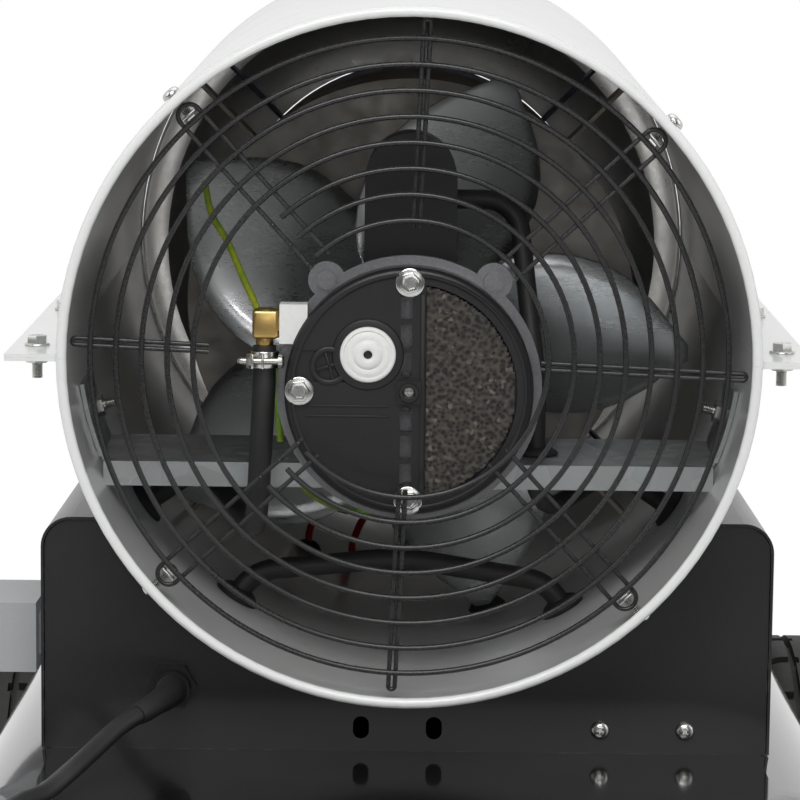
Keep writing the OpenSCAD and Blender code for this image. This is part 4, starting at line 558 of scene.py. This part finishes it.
def hexNut(width, height, hole):
    bm = bmesh.new()
    hexagon(bm, width, height, 0, both=True)
    lathe(bm, [(0, height + 0.9), (hole * 0.4, height + 0.9), (hole * 0.5, height + 0.6),
               (hole * 0.5, height - 0.6), (0, height - 0.6)], steps=20)
    return asMesh(bm, "hexNut")


# Camera, with the tilt, turn and roll of the photograph
camera = {"x": 0.8, "depth": -1291, "height": 152, "lens": 139.5, "tilt": 7.4, "turn": 0.2, "roll": 0.6}
camData = bpy.data.cameras.new("camera")
camData.lens, camData.sensor_width = camera["lens"], 36
camData.clip_start, camData.clip_end = 0.05, 60
camObject = bpy.data.objects.new("camera", camData)
scene.collection.objects.link(camObject)
scene.camera = camObject
camTurn = (Matrix.Rotation(math.radians(camera["turn"]), 4, "Z")
           @ Matrix.Rotation(math.radians(90 - camera["tilt"]), 4, "X")
           @ Matrix.Rotation(math.radians(camera["roll"]), 4, "Z"))
camObject.matrix_world = Matrix.Translation(place(camera["x"], camera["depth"], camera["height"])) @ camTurn

# Power cord: down to the floor behind the heater, into a coil of two layers, and up into its plug
cordLook = {"diameter": 8, "coilRadius": 44, "turns": 2, "pitch": 9, "perTurn": 24, "rise": 8.6, "tail": 70}
bootLook = {"length": 34, "wide": 1.72, "taper": 0.52, "groove": 0.07, "sides": 28}
tieLook = {"size": (27.4, 9, 17.2), "edge": 1.2, "wall": 0.25, "height": 8.65}
cordRoute = [(-102, 30, -148), (-102, 22, -148), (-111, 5, -151), (-121, -10, -155), (-130, -27, -161),
             (-138, -44, -166), (-147, -60, -171), (-157, -82, -171), (-164, -104, -180), (-168, -119, -205),
             (-169, -124, -245), (-169, -126, -300), (-168, -128, -360), (-165, -134, -410),
             (-158, -150, -450), (-154, -175, -466), (-153, -205, -471), (-153, -227, -472.1),
             (-153, -235, -472.1)]
plugHeight = 19.3 - axisHeight


def coilPoints(look):
    perTurn, turns, pitch = look["perTurn"], look["turns"], look["pitch"]
    outer, inner = look["coilRadius"] + turns * pitch / 2, look["coilRadius"] - turns * pitch / 2
    startX, startDepth, startHeight = cordRoute[-1]
    half, steps, line = perTurn / 2, turns * perTurn, []
    for i in range(1, 2 * steps + perTurn // 2 + 1):
        j = i - steps
        if i < steps:
            r = outer - pitch * i / perTurn
        elif j < half:
            r = inner - look["diameter"] / 6 * math.sin(math.pi * j / half)
        else:
            r = inner + pitch * (j - half) / perTurn
        s = min(max(j / half, 0), 1)
        turn = math.radians(180 + 360 * i / perTurn)
        line.append((startX + outer + r * math.cos(turn), startDepth + r * math.sin(turn),
                     startHeight - look["rise"] * s * s * (3 - 2 * s)))
    x, depth, height = line[-1]
    for s in (0.25, 0.5, 0.75, 1):
        line.append((x, depth + look["diameter"] + s * look["tail"],
                     height + (plugHeight - height) * s * s * (3 - 2 * s)))
    line.append((x, depth + 2 * look["diameter"] + look["tail"], plugHeight))
    return line


cordLine = smoothed([place(*p) for p in cordRoute + coilPoints(cordLook)], 3)
mainsCord = tube("mainsCord", cordLine, cordLook["diameter"], "cordRubber",
                 replaces=("power_cord", "cord_coil"), fineness=5)
bootLine = [p for p in cordLine if (p - cordLine[0]).length < bootLook["length"] * mm]
sides = bootLook["sides"]
bm = bmesh.new()
rings = []
for i, point in enumerate(bootLine):
    share = i / (len(bootLine) - 1)
    matrix = frameAt(point, cordLine[i + 1] - cordLine[max(i - 1, 0)], Vector((0, 0, 1)))
    radius = cordLook["diameter"] / 2 * mm * (bootLook["wide"] - bootLook["taper"] * share)
    radius *= 1 - bootLook["groove"] * (i % 2)
    turns = [k * math.pi / (sides / 2) for k in range(sides)]
    rings.append([bm.verts.new(matrix @ Vector((radius * math.cos(turn), radius * math.sin(turn), 0)))
                  for turn in turns])
for low, high in zip(rings, rings[1:]):
    for k in range(sides):
        following = (k + 1) % sides
        bm.faces.new((low[k], low[following], high[following], high[k]))
bm.faces.new(rings[0])
bm.faces.new(rings[-1])
cordBoot = newPiece("cordBoot", bm, "grommetRubber", sharp=60)
coilMiddle = cordRoute[-1][0] + cordLook["coilRadius"] + cordLook["turns"] * cordLook["pitch"] / 2
bm = bmesh.new()
block(bm, tieLook["size"], edge=tieLook["edge"])
ends = [f for f in bm.faces if abs(f.normal.y) > 0.9]
bmesh.ops.delete(bm, geom=ends, context="FACES")
tieSpot = placed(coilMiddle + cordLook["coilRadius"], cordRoute[-1][1], tieLook["height"] - axisHeight)
moveNew(bm, set(), tieSpot)
coilTie = newPiece("coilTie", bm, "hoseRubber")
wall = coilTie.modifiers.new("band", "SOLIDIFY")
wall.thickness, wall.offset = tieLook["wall"] * mm, -1
print("cord laid")

# Hoses and leads. Two of them leave the shell before the fan and come back after it. A bend is one
# radius, or a list with one for each corner.
before, after = 162.8, 232.4
loopDepth = 144.8
airStart = (-62.3, 34, 2.9)
hoses = {
    "airLine": {"width": 10, "bend": 18, "replaces": ("air_hose",), "route": [
        place(*airStart), place(airStart[0], airStart[1], airStart[2] - 16), place(-65.3, 47.5, -62.4),
        place(-68.3, 80.2, -84.6), onShell(215, before, 118.8), onShell(215, before, 178.5),
        onShell(215, after, 178.5), onShell(215, after, 21)]},
    "motorCable": {"width": 9, "bend": 17.1, "replaces": ("motor_lead",), "route": [
        place(11.3, 137.5, 60.1), place(48.96, 137.5, 60.1), place(57.96, 110.4, -20.8),
        place(57.96, 110.4, -84.6), onShell(325, before, 118.8), onShell(325, before, 175.5),
        place(139.5, 293, -118.8), place(139.5, 319.7, -118.8)]},
    "cableArch": {"width": 10, "bend": [22, 119, 22], "replaces": ("cable_loop",), "route": [
        onShell(238, loopDepth, 158.5), onShell(238, loopDepth, 137), place(-3, loopDepth, -109.1),
        onShell(299, loopDepth, 137), onShell(299, loopDepth, 158.5)]},
    "fuelLine": {"width": 7, "bend": 21, "replaces": (), "route": [
        place(44.6, after, -278.5), place(44.6, after, -166.4), onShell(285, after, 99.5),
        place(0, after, -50.5), place(0, after, -21)]},
}
for name, hose in hoses.items():
    tube(name, rounded(hose["route"], hose["bend"]), hose["width"], "hoseRubber",
         replaces=hose["replaces"])
bm = bmesh.new()
lathe(bm, [(0, 16), (3.4, 16), (3.4, 14), (9.5, 13.4), (11.6, 12.4), (12, 11), (12, -11), (11.6, -12.4),
           (9.5, -13.4), (3.4, -14), (3.4, -16), (0, -16)], placed(44.6, after, 190.5 - axisHeight))
newPiece("fuelFilter", bm, "whiteNylon", replaces=("fuel_hose",))
print("hoses laid")

# Screws, bolts and nuts, each stamped from one template
panScrew = crossScrew(8.4, 2.8, 4, 12.6)
shortScrew = crossScrew(8.4, 2.8, 4, 5.1)
flangeBolt = hexScrew(11, 7.9, 4.5, 4.8, 14)
coverBolt = hexScrew(12.6, 8.2, 4.5, 4, 20, dished=0.8)
shortBolt = hexScrew(11, 7.9, 4.5, 4.8, 9)
flangeNut = hexNut(9.2, 4.3, 4.8)
clipNut = hexNut(6.6, 2.4, 4)
guard = {"firstAngle": 42.5, "spokes": 4, "screwDepth": 17.2, "tab": (9.6, 6.9, 1.1), "tabRadius": 138.6,
         "nutRadius": 138.1, "rings": 8, "firstRing": 59, "ringStep": 10.9, "halfGap": 4.8, "wireDepth": 12.6,
         "bead": 1.25}
flange = {"bolts": 5, "firstBolt": 38, "step": 153.5}
cover = {"depth": 25, "height": -15.5, "boltCircle": 47, "boltAngles": (90, 180, 270)}
bracket = {"boltAngles": (194, 346), "boltDepth": 123.3, "tab": 4.1, "under": -56.3, "underDepths": (96, 148)}
cabinet = {"side": 159.7, "depths": (80, 560), "heights": (-105, -165),
           "rearDepth": 40, "rearX": (85.4, 122.6), "rearHeight": -166}
guardAngles = [guard["firstAngle"] + 90 * i for i in range(guard["spokes"])]

bm = bmesh.new()
for angle in guardAngles:
    depth = guard["screwDepth"]
    stamp(bm, panScrew, facingOut(angle, depth, shellRadius(depth) + shell["clear"]))
    block(bm, guard["tab"], facingOut(angle, depth, guard["tabRadius"]), edge=0.3)
    stamp(bm, clipNut, facingIn(angle, depth, guard["nutRadius"]))
newPiece("guardFixings", bm, "zincPlate", replaces=("guard_screws",))

bm = bmesh.new()
for i in range(flange["bolts"]):
    depth = flange["firstBolt"] + flange["step"] * i
    x = (shellRadius(depth) + flangeEdge(depth)) / 2
    for side in (1, -1):
        turn = spun(0.4 * i + side)
        stamp(bm, flangeBolt, placed(side * x, depth, shell["sheet"]) @ turn)
        stamp(bm, flangeNut, placed(side * x, depth, -shell["sheet"]) @ spun(math.pi, "X") @ turn)
newPiece("flangeBolts", bm, "zincPlate", replaces=("flange_screws",))

bm = bmesh.new()
for angle in cover["boltAngles"]:
    turn = math.radians(angle)
    spot = place(cover["boltCircle"] * math.cos(turn), cover["depth"],
                 cover["height"] + cover["boltCircle"] * math.sin(turn))
    stamp(bm, coverBolt, frameAt(spot, Vector((0, -1, 0))) @ spun(0.3 * angle))
newPiece("coverBolts", bm, "zincPlate", replaces=("cover_screws",))

bm = bmesh.new()
for angle in bracket["boltAngles"]:
    depth = bracket["boltDepth"]
    stamp(bm, flangeBolt, facingOut(angle, depth, shellRadius(depth) + shell["clear"]))
    stamp(bm, flangeNut, facingIn(angle, depth, shellRadius(depth) - bracket["tab"]))
for depth in bracket["underDepths"]:
    stamp(bm, shortBolt, frameAt(place(0, depth, bracket["under"]), Vector((0, 0, -1))))
newPiece("bracketFixings", bm, "zincPlate", replaces=("bracket_bolts",))

# Each recess is turned by its own place, so that no two screws stand alike
bm = bmesh.new()
for side in (1, -1):
    for depth in cabinet["depths"]:
        for height in cabinet["heights"]:
            spot = frameAt(place(side * cabinet["side"], depth, height), Vector((side, 0, 0)))
            stamp(bm, shortScrew, spot @ spun(depth + height))
for x in cabinet["rearX"]:
    spot = frameAt(place(x, cabinet["rearDepth"], cabinet["rearHeight"]), Vector((0, -1, 0)))
    stamp(bm, shortScrew, spot @ spun(x))
newPiece("cabinetFixings", bm, "zincPlate", replaces=("cabinet_screws",))
print("fasteners set")

# Fan, with its facets smoothed
bm = bmesh.new()
bm.from_mesh(nodes["fan"].data)
bmesh.ops.remove_doubles(bm, verts=bm.verts, dist=5e-6)
newPiece("fanBlades", bm, "bladeAluminium", body="fan_rotor", replaces=("fan",),
         sharp=48)


def onCover(x, height, depth=cover["depth"]):
    return frameAt(place(x, depth, cover["height"] + height), Vector((0, -1, 0)))


# Gauge plug and the raised details of the filter cover
gaugeSpot = onCover(-17.7, 16.05)
dialSpot = onCover(-34.2, 11.0)
bm = bmesh.new()
lathe(bm, [(0, -8), (1.9, -8), (1.9, 2.5), (2.3, 2.9), (3.6, 3.1), (5.2, 2.9), (6.1, 2.3), (6.5, 1.9),
           (6.9, 2.1), (9.2, 2.1), (9.6, 1.7), (10.1, 1.7), (10.4, 2.2), (11.3, 2.2), (11.8, 1.8), (12, 1.2),
           (12, 0.2), (11.7, 0), (8.4, 0), (8.3, -11.5), (0, -11.5)], gaugeSpot, steps=64)
newPiece("gaugePlug", bm, "whiteNylon", replaces=("gauge_plug",), sharp=50)
# A dark plug in the rubber finish fills the gauge plug's bore to about 2 mm under its mouth: painted shade in
# the hole.
bm = bmesh.new()
lathe(bm, [(0, -7.8), (1.88, -7.8), (1.88, 0.4), (0, 0.4)], gaugeSpot, steps=24)
newPiece("gaugeHolePaintedShade", bm, "grommetRubber")

bm = bmesh.new()
lathe(bm, [(49.4, -0.2), (49.4, 0.7), (49.9, 1.1), (50.6, 1.1), (51.1, 0.7), (51.1, -0.2), (49.4, -0.2)],
      onCover(0, 0), steps=96)
lathe(bm, [(0, -0.1), (14.2, -0.1), (15.4, 0.0), (15.0, 0.9), (14.2, 1.2), (12.1, 1.2), (12.1, 0.3),
           (0, 0.3)], gaugeSpot, steps=48)
lathe(bm, [(6.2, -0.2), (6.2, 0.8), (6.7, 1.1), (7.6, 1.1), (8.2, 0.8), (8.4, -0.2), (6.2, -0.2)], dialSpot,
      steps=40)
for turn in (0.3, 0.3 + math.pi / 2):
    block(bm, (11.8, 1.1, 0.9), shifted(dialSpot @ spun(turn), 0, 0, 0.25), edge=0.25)
lathe(bm, [(2.4, -0.2), (2.4, 1.6), (2.7, 2.0), (4.0, 2.0), (4.3, 1.6), (4.3, -0.2), (2.4, -0.2)],
      onCover(0, 0, 22.8), steps=32)
for height in (-6.2, -10.6):
    block(bm, (36, 0.8, 0.7), shifted(onCover(-26.5, height), 0, 0, 0.2), edge=0.25)
for height in (7.5, -7.5):
    block(bm, (3.2, 2.0, 1.0), shifted(onCover(-1.3, height), 0, 0, 0.3), edge=0.25)
block(bm, (2.0, 84, 0.9), shifted(onCover(5.6, 0), 0, 0, 0.25), edge=0.3)
newPiece("coverMouldings", bm, "mouldedBlack")

# Foam filter: a half-moon grid whose open cells are pressed into its face
foamLook = {"radius": 46.2, "left": 7.2, "step": 0.9, "sunk": 0.6, "deep": 1.1, "thick": 8,
            "cells": 900, "cellShare": 0.5, "waves": 420, "waveShare": 0.8}
bm = bmesh.new()
count = int(2 * foamLook["radius"] / foamLook["step"])
bmesh.ops.create_grid(bm, x_segments=count, y_segments=count, size=foamLook["radius"] * mm)
cut = foamLook["left"] * mm
bmesh.ops.bisect_plane(bm, geom=bm.verts[:] + bm.edges[:] + bm.faces[:], plane_co=(cut, 0, 0),
                       plane_no=(-1, 0, 0), clear_outer=True)
outside = [v for v in bm.verts if v.co.xy.length > foamLook["radius"] * mm]
bmesh.ops.delete(bm, geom=outside, context="VERTS")
for v in bm.verts:
    cell = noise.cell(v.co * foamLook["cells"]) * foamLook["cellShare"]
    cell += noise.noise(v.co * foamLook["waves"]) * foamLook["waveShare"]
    v.co.z = -(foamLook["sunk"] + foamLook["deep"] * max(min(0.5 + 0.5 * cell, 1), 0)) * mm
rim = [e for e in bm.edges if e.is_boundary]
skirt = bmesh.ops.extrude_edge_only(bm, edges=rim)["geom"]
low = [v for v in skirt if isinstance(v, bmesh.types.BMVert)]
bmesh.ops.translate(bm, vec=(0, 0, -foamLook["thick"] * mm), verts=low)
bmesh.ops.holes_fill(bm, edges=[e for e in bm.edges if e.is_boundary])
moveNew(bm, set(), onCover(0, 0))
newPiece("foamPad", bm, "foam", replaces=("foam_filter",), sharp=80)
print("pump cover dressed")

# Brass elbow with its barb, and the screw clip on the hose
elbowSpot = (-62.3, 34, 12.9)
barbLook = {"rings": 4, "step": 2.2, "wide": 3.9, "narrow": 3.3}


def fromElbow(x, height):
    return place(elbowSpot[0] + x, elbowSpot[1], elbowSpot[2] + height)


bm = bmesh.new()
block(bm, (11.5, 11, 12.5), Matrix.Translation(fromElbow(0.6, -0.4)), edge=1.6, segments=3)
hexagon(bm, 10.6, 3.2, 0, frameAt(fromElbow(5.4, 0), Vector((1, 0, 0))), edge=0.4, both=True)
barb = [(0, 0), (3.6, 0)]
for k in range(barbLook["rings"]):
    barb += [(barbLook["wide"], -2.6 - barbLook["step"] * k),
             (barbLook["narrow"], -4.6 - barbLook["step"] * k)]
lathe(bm, barb + [(0, -12.6)], Matrix.Translation(fromElbow(0, -6)), steps=28)
lathe(bm, [(0, 0.3), (3.4, 0.3), (4.0, 0), (4.0, -1), (0, -1)], Matrix.Translation(fromElbow(0.6, 6)),
      steps=28)
newPiece("brassElbow", bm, "brass", replaces=("air_elbow",))
bm = bmesh.new()
clipTop = place(-62.3, 34, 0.4)
lathe(bm, [(5.3, 0), (5.3, -6.4), (5.5, -6.8), (6.1, -6.8), (6.3, -6.4), (6.3, 0), (6.1, 0.3), (5.5, 0.3),
           (5.3, 0)], Matrix.Translation(clipTop), steps=40)
ear = Matrix.Translation(clipTop + Vector((-2.5, -8.2, -3.2)) * mm)
for x in (-2.2, 2.2):
    block(bm, (1.0, 7.0, 6.4), shifted(ear, x, 0, 0), edge=0.3)
screwAxis = frameAt(ear.translation + Vector((9, -0.6, 0)) * mm, Vector((-1, 0, 0)))
lathe(bm, [(0, 18), (0.9, 17.7), (1.3, 17), (1.5, 16), (1.5, 0), (0, 0)], screwAxis, steps=20)
hexagon(bm, 5.6, 2.6, 11.3, screwAxis, edge=0.3, both=True)
lathe(bm, [(0, -2.3), (2.0, -2.2), (2.9, -1.6), (3.1, -0.8), (3.1, 0.2), (0, 0.2)], screwAxis, steps=24)
newPiece("hoseClamp", bm, "zincPlate", replaces=("hose_clip",))
print("air line fitted")

# Rubber grommets where the hoses and leads pass the sheet, by angle, depth and bore
wireDepth = 399.64
passages = [(238, loopDepth, 10), (299, loopDepth, 10), (215, before, 10), (215, after, 10), (325, before, 9),
            (285, after, 7), (250, wireDepth, 4), (259, wireDepth, 4)]
grommetLook = {"loose": 0.15, "lip": 6, "neck": 2.7}


def grommet(bm, bore, gap, matrix, dome):
    a, b, neck = (bore / 2 + grommetLook[part] for part in ("loose", "lip", "neck"))
    lathe(bm, [(a, -2.4), (a, gap + 2.2 + dome), (a + 0.5, gap + 2.7 + dome),
               (0.5 * (a + b), gap + 2.5 + 0.6 * dome), (b - 0.8, gap + 1.6), (b, gap + 0.6), (b - 0.3, gap),
               (neck, gap), (neck, 0), (b - 0.3, 0), (b, -0.7), (b - 0.8, -1.9), (a + 0.5, -2.6), (a, -2.4)],
          matrix, steps=32)


bm = bmesh.new()
for angle, depth, bore in passages:
    r = shellRadius(depth)
    w = bore / 2 + grommetLook["lip"]
    inner = r - shell["sheet"]
    inner -= inner - math.sqrt(inner * inner - w * w) + shell["clear"]
    outer = r + shell["clear"]
    grommet(bm, bore, outer - inner, facingIn(angle, depth, outer), 2.5)
grommet(bm, 9, 2.6, frameAt(place(57.96, 110.4, -56.6), Vector((0, 0, 1))), 0.5)
newPiece("rubberGrommets", bm, "grommetRubber", replaces=("grommets",), sharp=50)

# Deflector ring round the front of the combustion chamber
bm = bmesh.new()
lathe(bm, [(112.6, 6), (113.4, 6), (113.4, 0.8), (149.2, 0.8), (150, 1.4), (150, 5), (150.8, 5), (150.8, 0.4),
           (150, 0), (112.6, 0), (112.6, 6)], frameAt(place(0, 628, 0), Vector((0, 1, 0))), steps=96)
newPiece("deflectorRing", bm, "noseSteel")

# Wires: yellow and green earth leads in the air space, ignition and sensor leads to the burner
wireRoutes = {
    "earthLead": ("earthWire", 3.2, [(-96, 150, 66), (-92, 138, 52), (-84, 128, 40), (-76, 118, 24),
                                     (-66, 104, 4), (-60, 98, -22), (-58, 100, -48)]),
    "earthLoop": ("earthWire", 3.2, [(-52, 158, -76), (-40, 152, -84), (-22, 148, -88), (-4, 150, -84),
                                     (8, 156, -76)]),
    "redLeadLeft": ("redWire", 4, [(-54.6, wireDepth, -151), (-54, wireDepth, -140), (-46, 380, -124),
                                   (-30, 330, -118), (-24, 270, -100), (-20, 232, -60), (-17.6, 214, -20),
                                   (-17.6, 211, 4), (-17.6, 219, 8.8)]),
    "redLeadRight": ("redWire", 4, [(-30.5, wireDepth, -157), (-30, wireDepth, -146), (-20, 380, -126),
                                    (0, 330, -120), (14, 270, -100), (18, 232, -60), (17.6, 214, -20),
                                    (17.6, 211, 4), (17.6, 219, 8.8)]),
}
for name, (finish, width, route) in wireRoutes.items():
    tube(name, smoothed([place(*p) for p in route], 6), width, finish, fineness=4)
print("wires drawn")

# Scale round the thermostat knob, with a long mark at each fifth step
thermostat = {"x": 163.0, "depth": 422, "height": -125.75, "marks": 11, "first": 225, "step": 27,
              "radius": 21.5}
bm = bmesh.new()
for i in range(thermostat["marks"]):
    turn = spun(math.radians(thermostat["first"] - thermostat["step"] * i), "X")
    spot = placed(thermostat["x"], thermostat["depth"], thermostat["height"]) @ turn
    block(bm, (0.24, 0.8, 4.2 if i % 5 == 0 else 2.6), shifted(spot, 0, 0, thermostat["radius"]))
newPiece("thermostatScale", bm, "dialWhite")
print("controls marked")

# Fuel gauge: ticks and a red needle on its dial
gaugeTop = placed(-110, 628, 308.5 + 5.1 - axisHeight)
gaugeLook = {"ticks": 9, "first": 20, "step": 17.5, "radius": 13, "needle": 62}
bm = bmesh.new()
for i in range(gaugeLook["ticks"]):
    turn = math.radians(gaugeLook["first"] + gaugeLook["step"] * i)
    spot = shifted(gaugeTop @ spun(turn), gaugeLook["radius"], 0, 0.1)
    block(bm, (4 if i % 4 == 0 else 2.4, 0.8, 0.2), spot)
newPiece("gaugeTicks", bm, "mouldedBlack")
bm = bmesh.new()
block(bm, (15, 1.2, 0.4), shifted(gaugeTop @ spun(math.radians(gaugeLook["needle"])), 6, 0, 0.4), edge=0.15)
lathe(bm, [(0, 1.1), (1.6, 1.0), (2.2, 0.5), (2.2, 0), (0, 0)], gaugeTop, steps=20)
newPiece("gaugeNeedle", bm, "switchRed")

# Wheels: an air valve in each rim
valveLook = {"inset": 14, "height": 0.36, "lean": -0.35}
for name, side, word in (("valveLeft", -1, "left"), ("valveRight", 1, "right")):
    bm = bmesh.new()
    low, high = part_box("rim_" + word)
    middle = (low + high) / 2
    outerX = high.x if side > 0 else low.x
    spot = Vector((outerX - side * valveLook["inset"] * mm, middle.y,
                   middle.z + (high.z - low.z) * valveLook["height"]))
    lathe(bm, [(0, 11), (1.6, 11), (1.9, 10.4), (1.9, 5.5), (2.6, 5), (3, 2), (4.2, 0.4), (4.6, -1), (0, -1)],
          frameAt(spot, Vector((side, 0, valveLook["lean"]))), steps=20)
    newPiece(name, bm, "hoseRubber", body="wheel_" + word)
print("small fittings set")

# Beads of weld where the guard's bars cross its rings
bm = bmesh.new()
for turn in map(math.radians, guardAngles):
    for k in range(guard["rings"]):
        r = guard["firstRing"] + guard["ringStep"] * k
        for side in (-1, 1):
            x = r * math.cos(turn) - side * guard["halfGap"] * math.sin(turn)
            z = r * math.sin(turn) + side * guard["halfGap"] * math.cos(turn)
            for v in bmesh.ops.create_icosphere(bm, subdivisions=1, radius=guard["bead"] * mm)["verts"]:
                v.co = v.co + place(x, guard["wireDepth"], z)
newPiece("weldBeads", bm, "blackWire", sharp=80)
print("guard welded")

# Floor, which fades from paper to plain white, sky and lamps
floorLook = {"half": 1.5, "paper": (0.86, 0.86, 0.86, 1), "fadeFrom": 0.45, "fadeTo": 1.1}
bm = bmesh.new()
bmesh.ops.create_grid(bm, x_segments=1, y_segments=1, size=floorLook["half"])
floorMesh = bpy.data.meshes.new("floor")
bm.to_mesh(floorMesh)
bm.free()
floor = bpy.data.objects.new("floor", floorMesh)
scene.collection.objects.link(floor)
ground = bpy.data.materials.new("floorPaper")
ground.use_nodes = True
tree = ground.node_tree
tree.nodes.clear()
where = addNode(tree, "TexCoord").outputs["Object"]
far = addNode(tree, "VectorMath", {0: where}, operation="LENGTH").outputs["Value"]
share = addNode(tree, "MapRange", {0: far, 1: floorLook["fadeFrom"], 2: floorLook["fadeTo"]},
                interpolation_type="SMOOTHSTEP").outputs[0]
paper = addNode(tree, "BsdfDiffuse", {0: floorLook["paper"]}).outputs[0]
glow = addNode(tree, "Emission", {0: (1, 1, 1, 1), 1: 1.0}).outputs[0]
both = addNode(tree, "MixShader", {0: share, 1: paper, 2: glow}).outputs[0]
addNode(tree, "OutputMaterial", {0: both})
floorMesh.materials.append(ground)

sky = {"fill": 0.2, "seen": 1.0, "behindCamera": 0.12, "ahead": 0.9, "from": -0.75, "to": 0.15}
world = bpy.data.worlds.new("studio")
scene.world = world
world.use_nodes = True
tree = world.node_tree
tree.nodes.clear()
path = addNode(tree, "LightPath").outputs
way = addNode(tree, "TexCoord").outputs["Generated"]
along = addNode(tree, "SeparateXYZ", {0: way}).outputs[1]
bright = addNode(tree, "MapRange", {0: along, 1: sky["from"], 2: sky["to"], 3: sky["behindCamera"],
                                    4: sky["ahead"]}).outputs[0]
mirrored = addNode(tree, "Mix", {0: path["Is Glossy Ray"], 2: sky["fill"], 3: bright}).outputs[0]
through = addNode(tree, "Mix", {0: path["Is Transmission Ray"], 2: mirrored, 3: sky["seen"]}).outputs[0]
plain = addNode(tree, "Mix", {0: path["Is Camera Ray"], 2: through, 3: sky["seen"]}).outputs[0]
shine = addNode(tree, "Background", {0: plain, 1: 1.0}).outputs[0]
addNode(tree, "OutputWorld", {0: shine})

lamps = {
    "overhead": {"at": (0.1, 0.1, 2.3), "to": (0, 0, 0.5), "size": (1.8, 1.8), "power": 8},
    "keyLeft": {"at": (-1.9, -1.0, 1.5), "to": (0, -0.1, 0.45), "size": (1.2, 1.4), "power": 6},
    "fillRight": {"at": (1.9, -0.7, 1.2), "to": (0, 0, 0.45), "size": (1.2, 1.4), "power": 6},
    "highRear": {"at": (-0.2, -1.9, 2.1), "to": (0, -0.2, 0.4), "size": (1.6, 0.9), "power": 34},
    "lowFront": {"at": (0.2, -2.4, 0.9), "to": (0, -0.2, 0.45), "size": (1.4, 0.8), "power": 6},
}
for name, lamp in lamps.items():
    data = bpy.data.lights.new(name, "AREA")
    data.shape, data.size, data.size_y, data.energy = "RECTANGLE", *lamp["size"], lamp["power"]
    holder = bpy.data.objects.new(name, data)
    scene.collection.objects.link(holder)
    toward = Vector(lamp["to"]) - Vector(lamp["at"])
    aim = toward.to_track_quat("-Z", "Y").to_matrix().to_4x4()
    holder.matrix_world = Matrix.Translation(lamp["at"]) @ aim
print("stage lit")
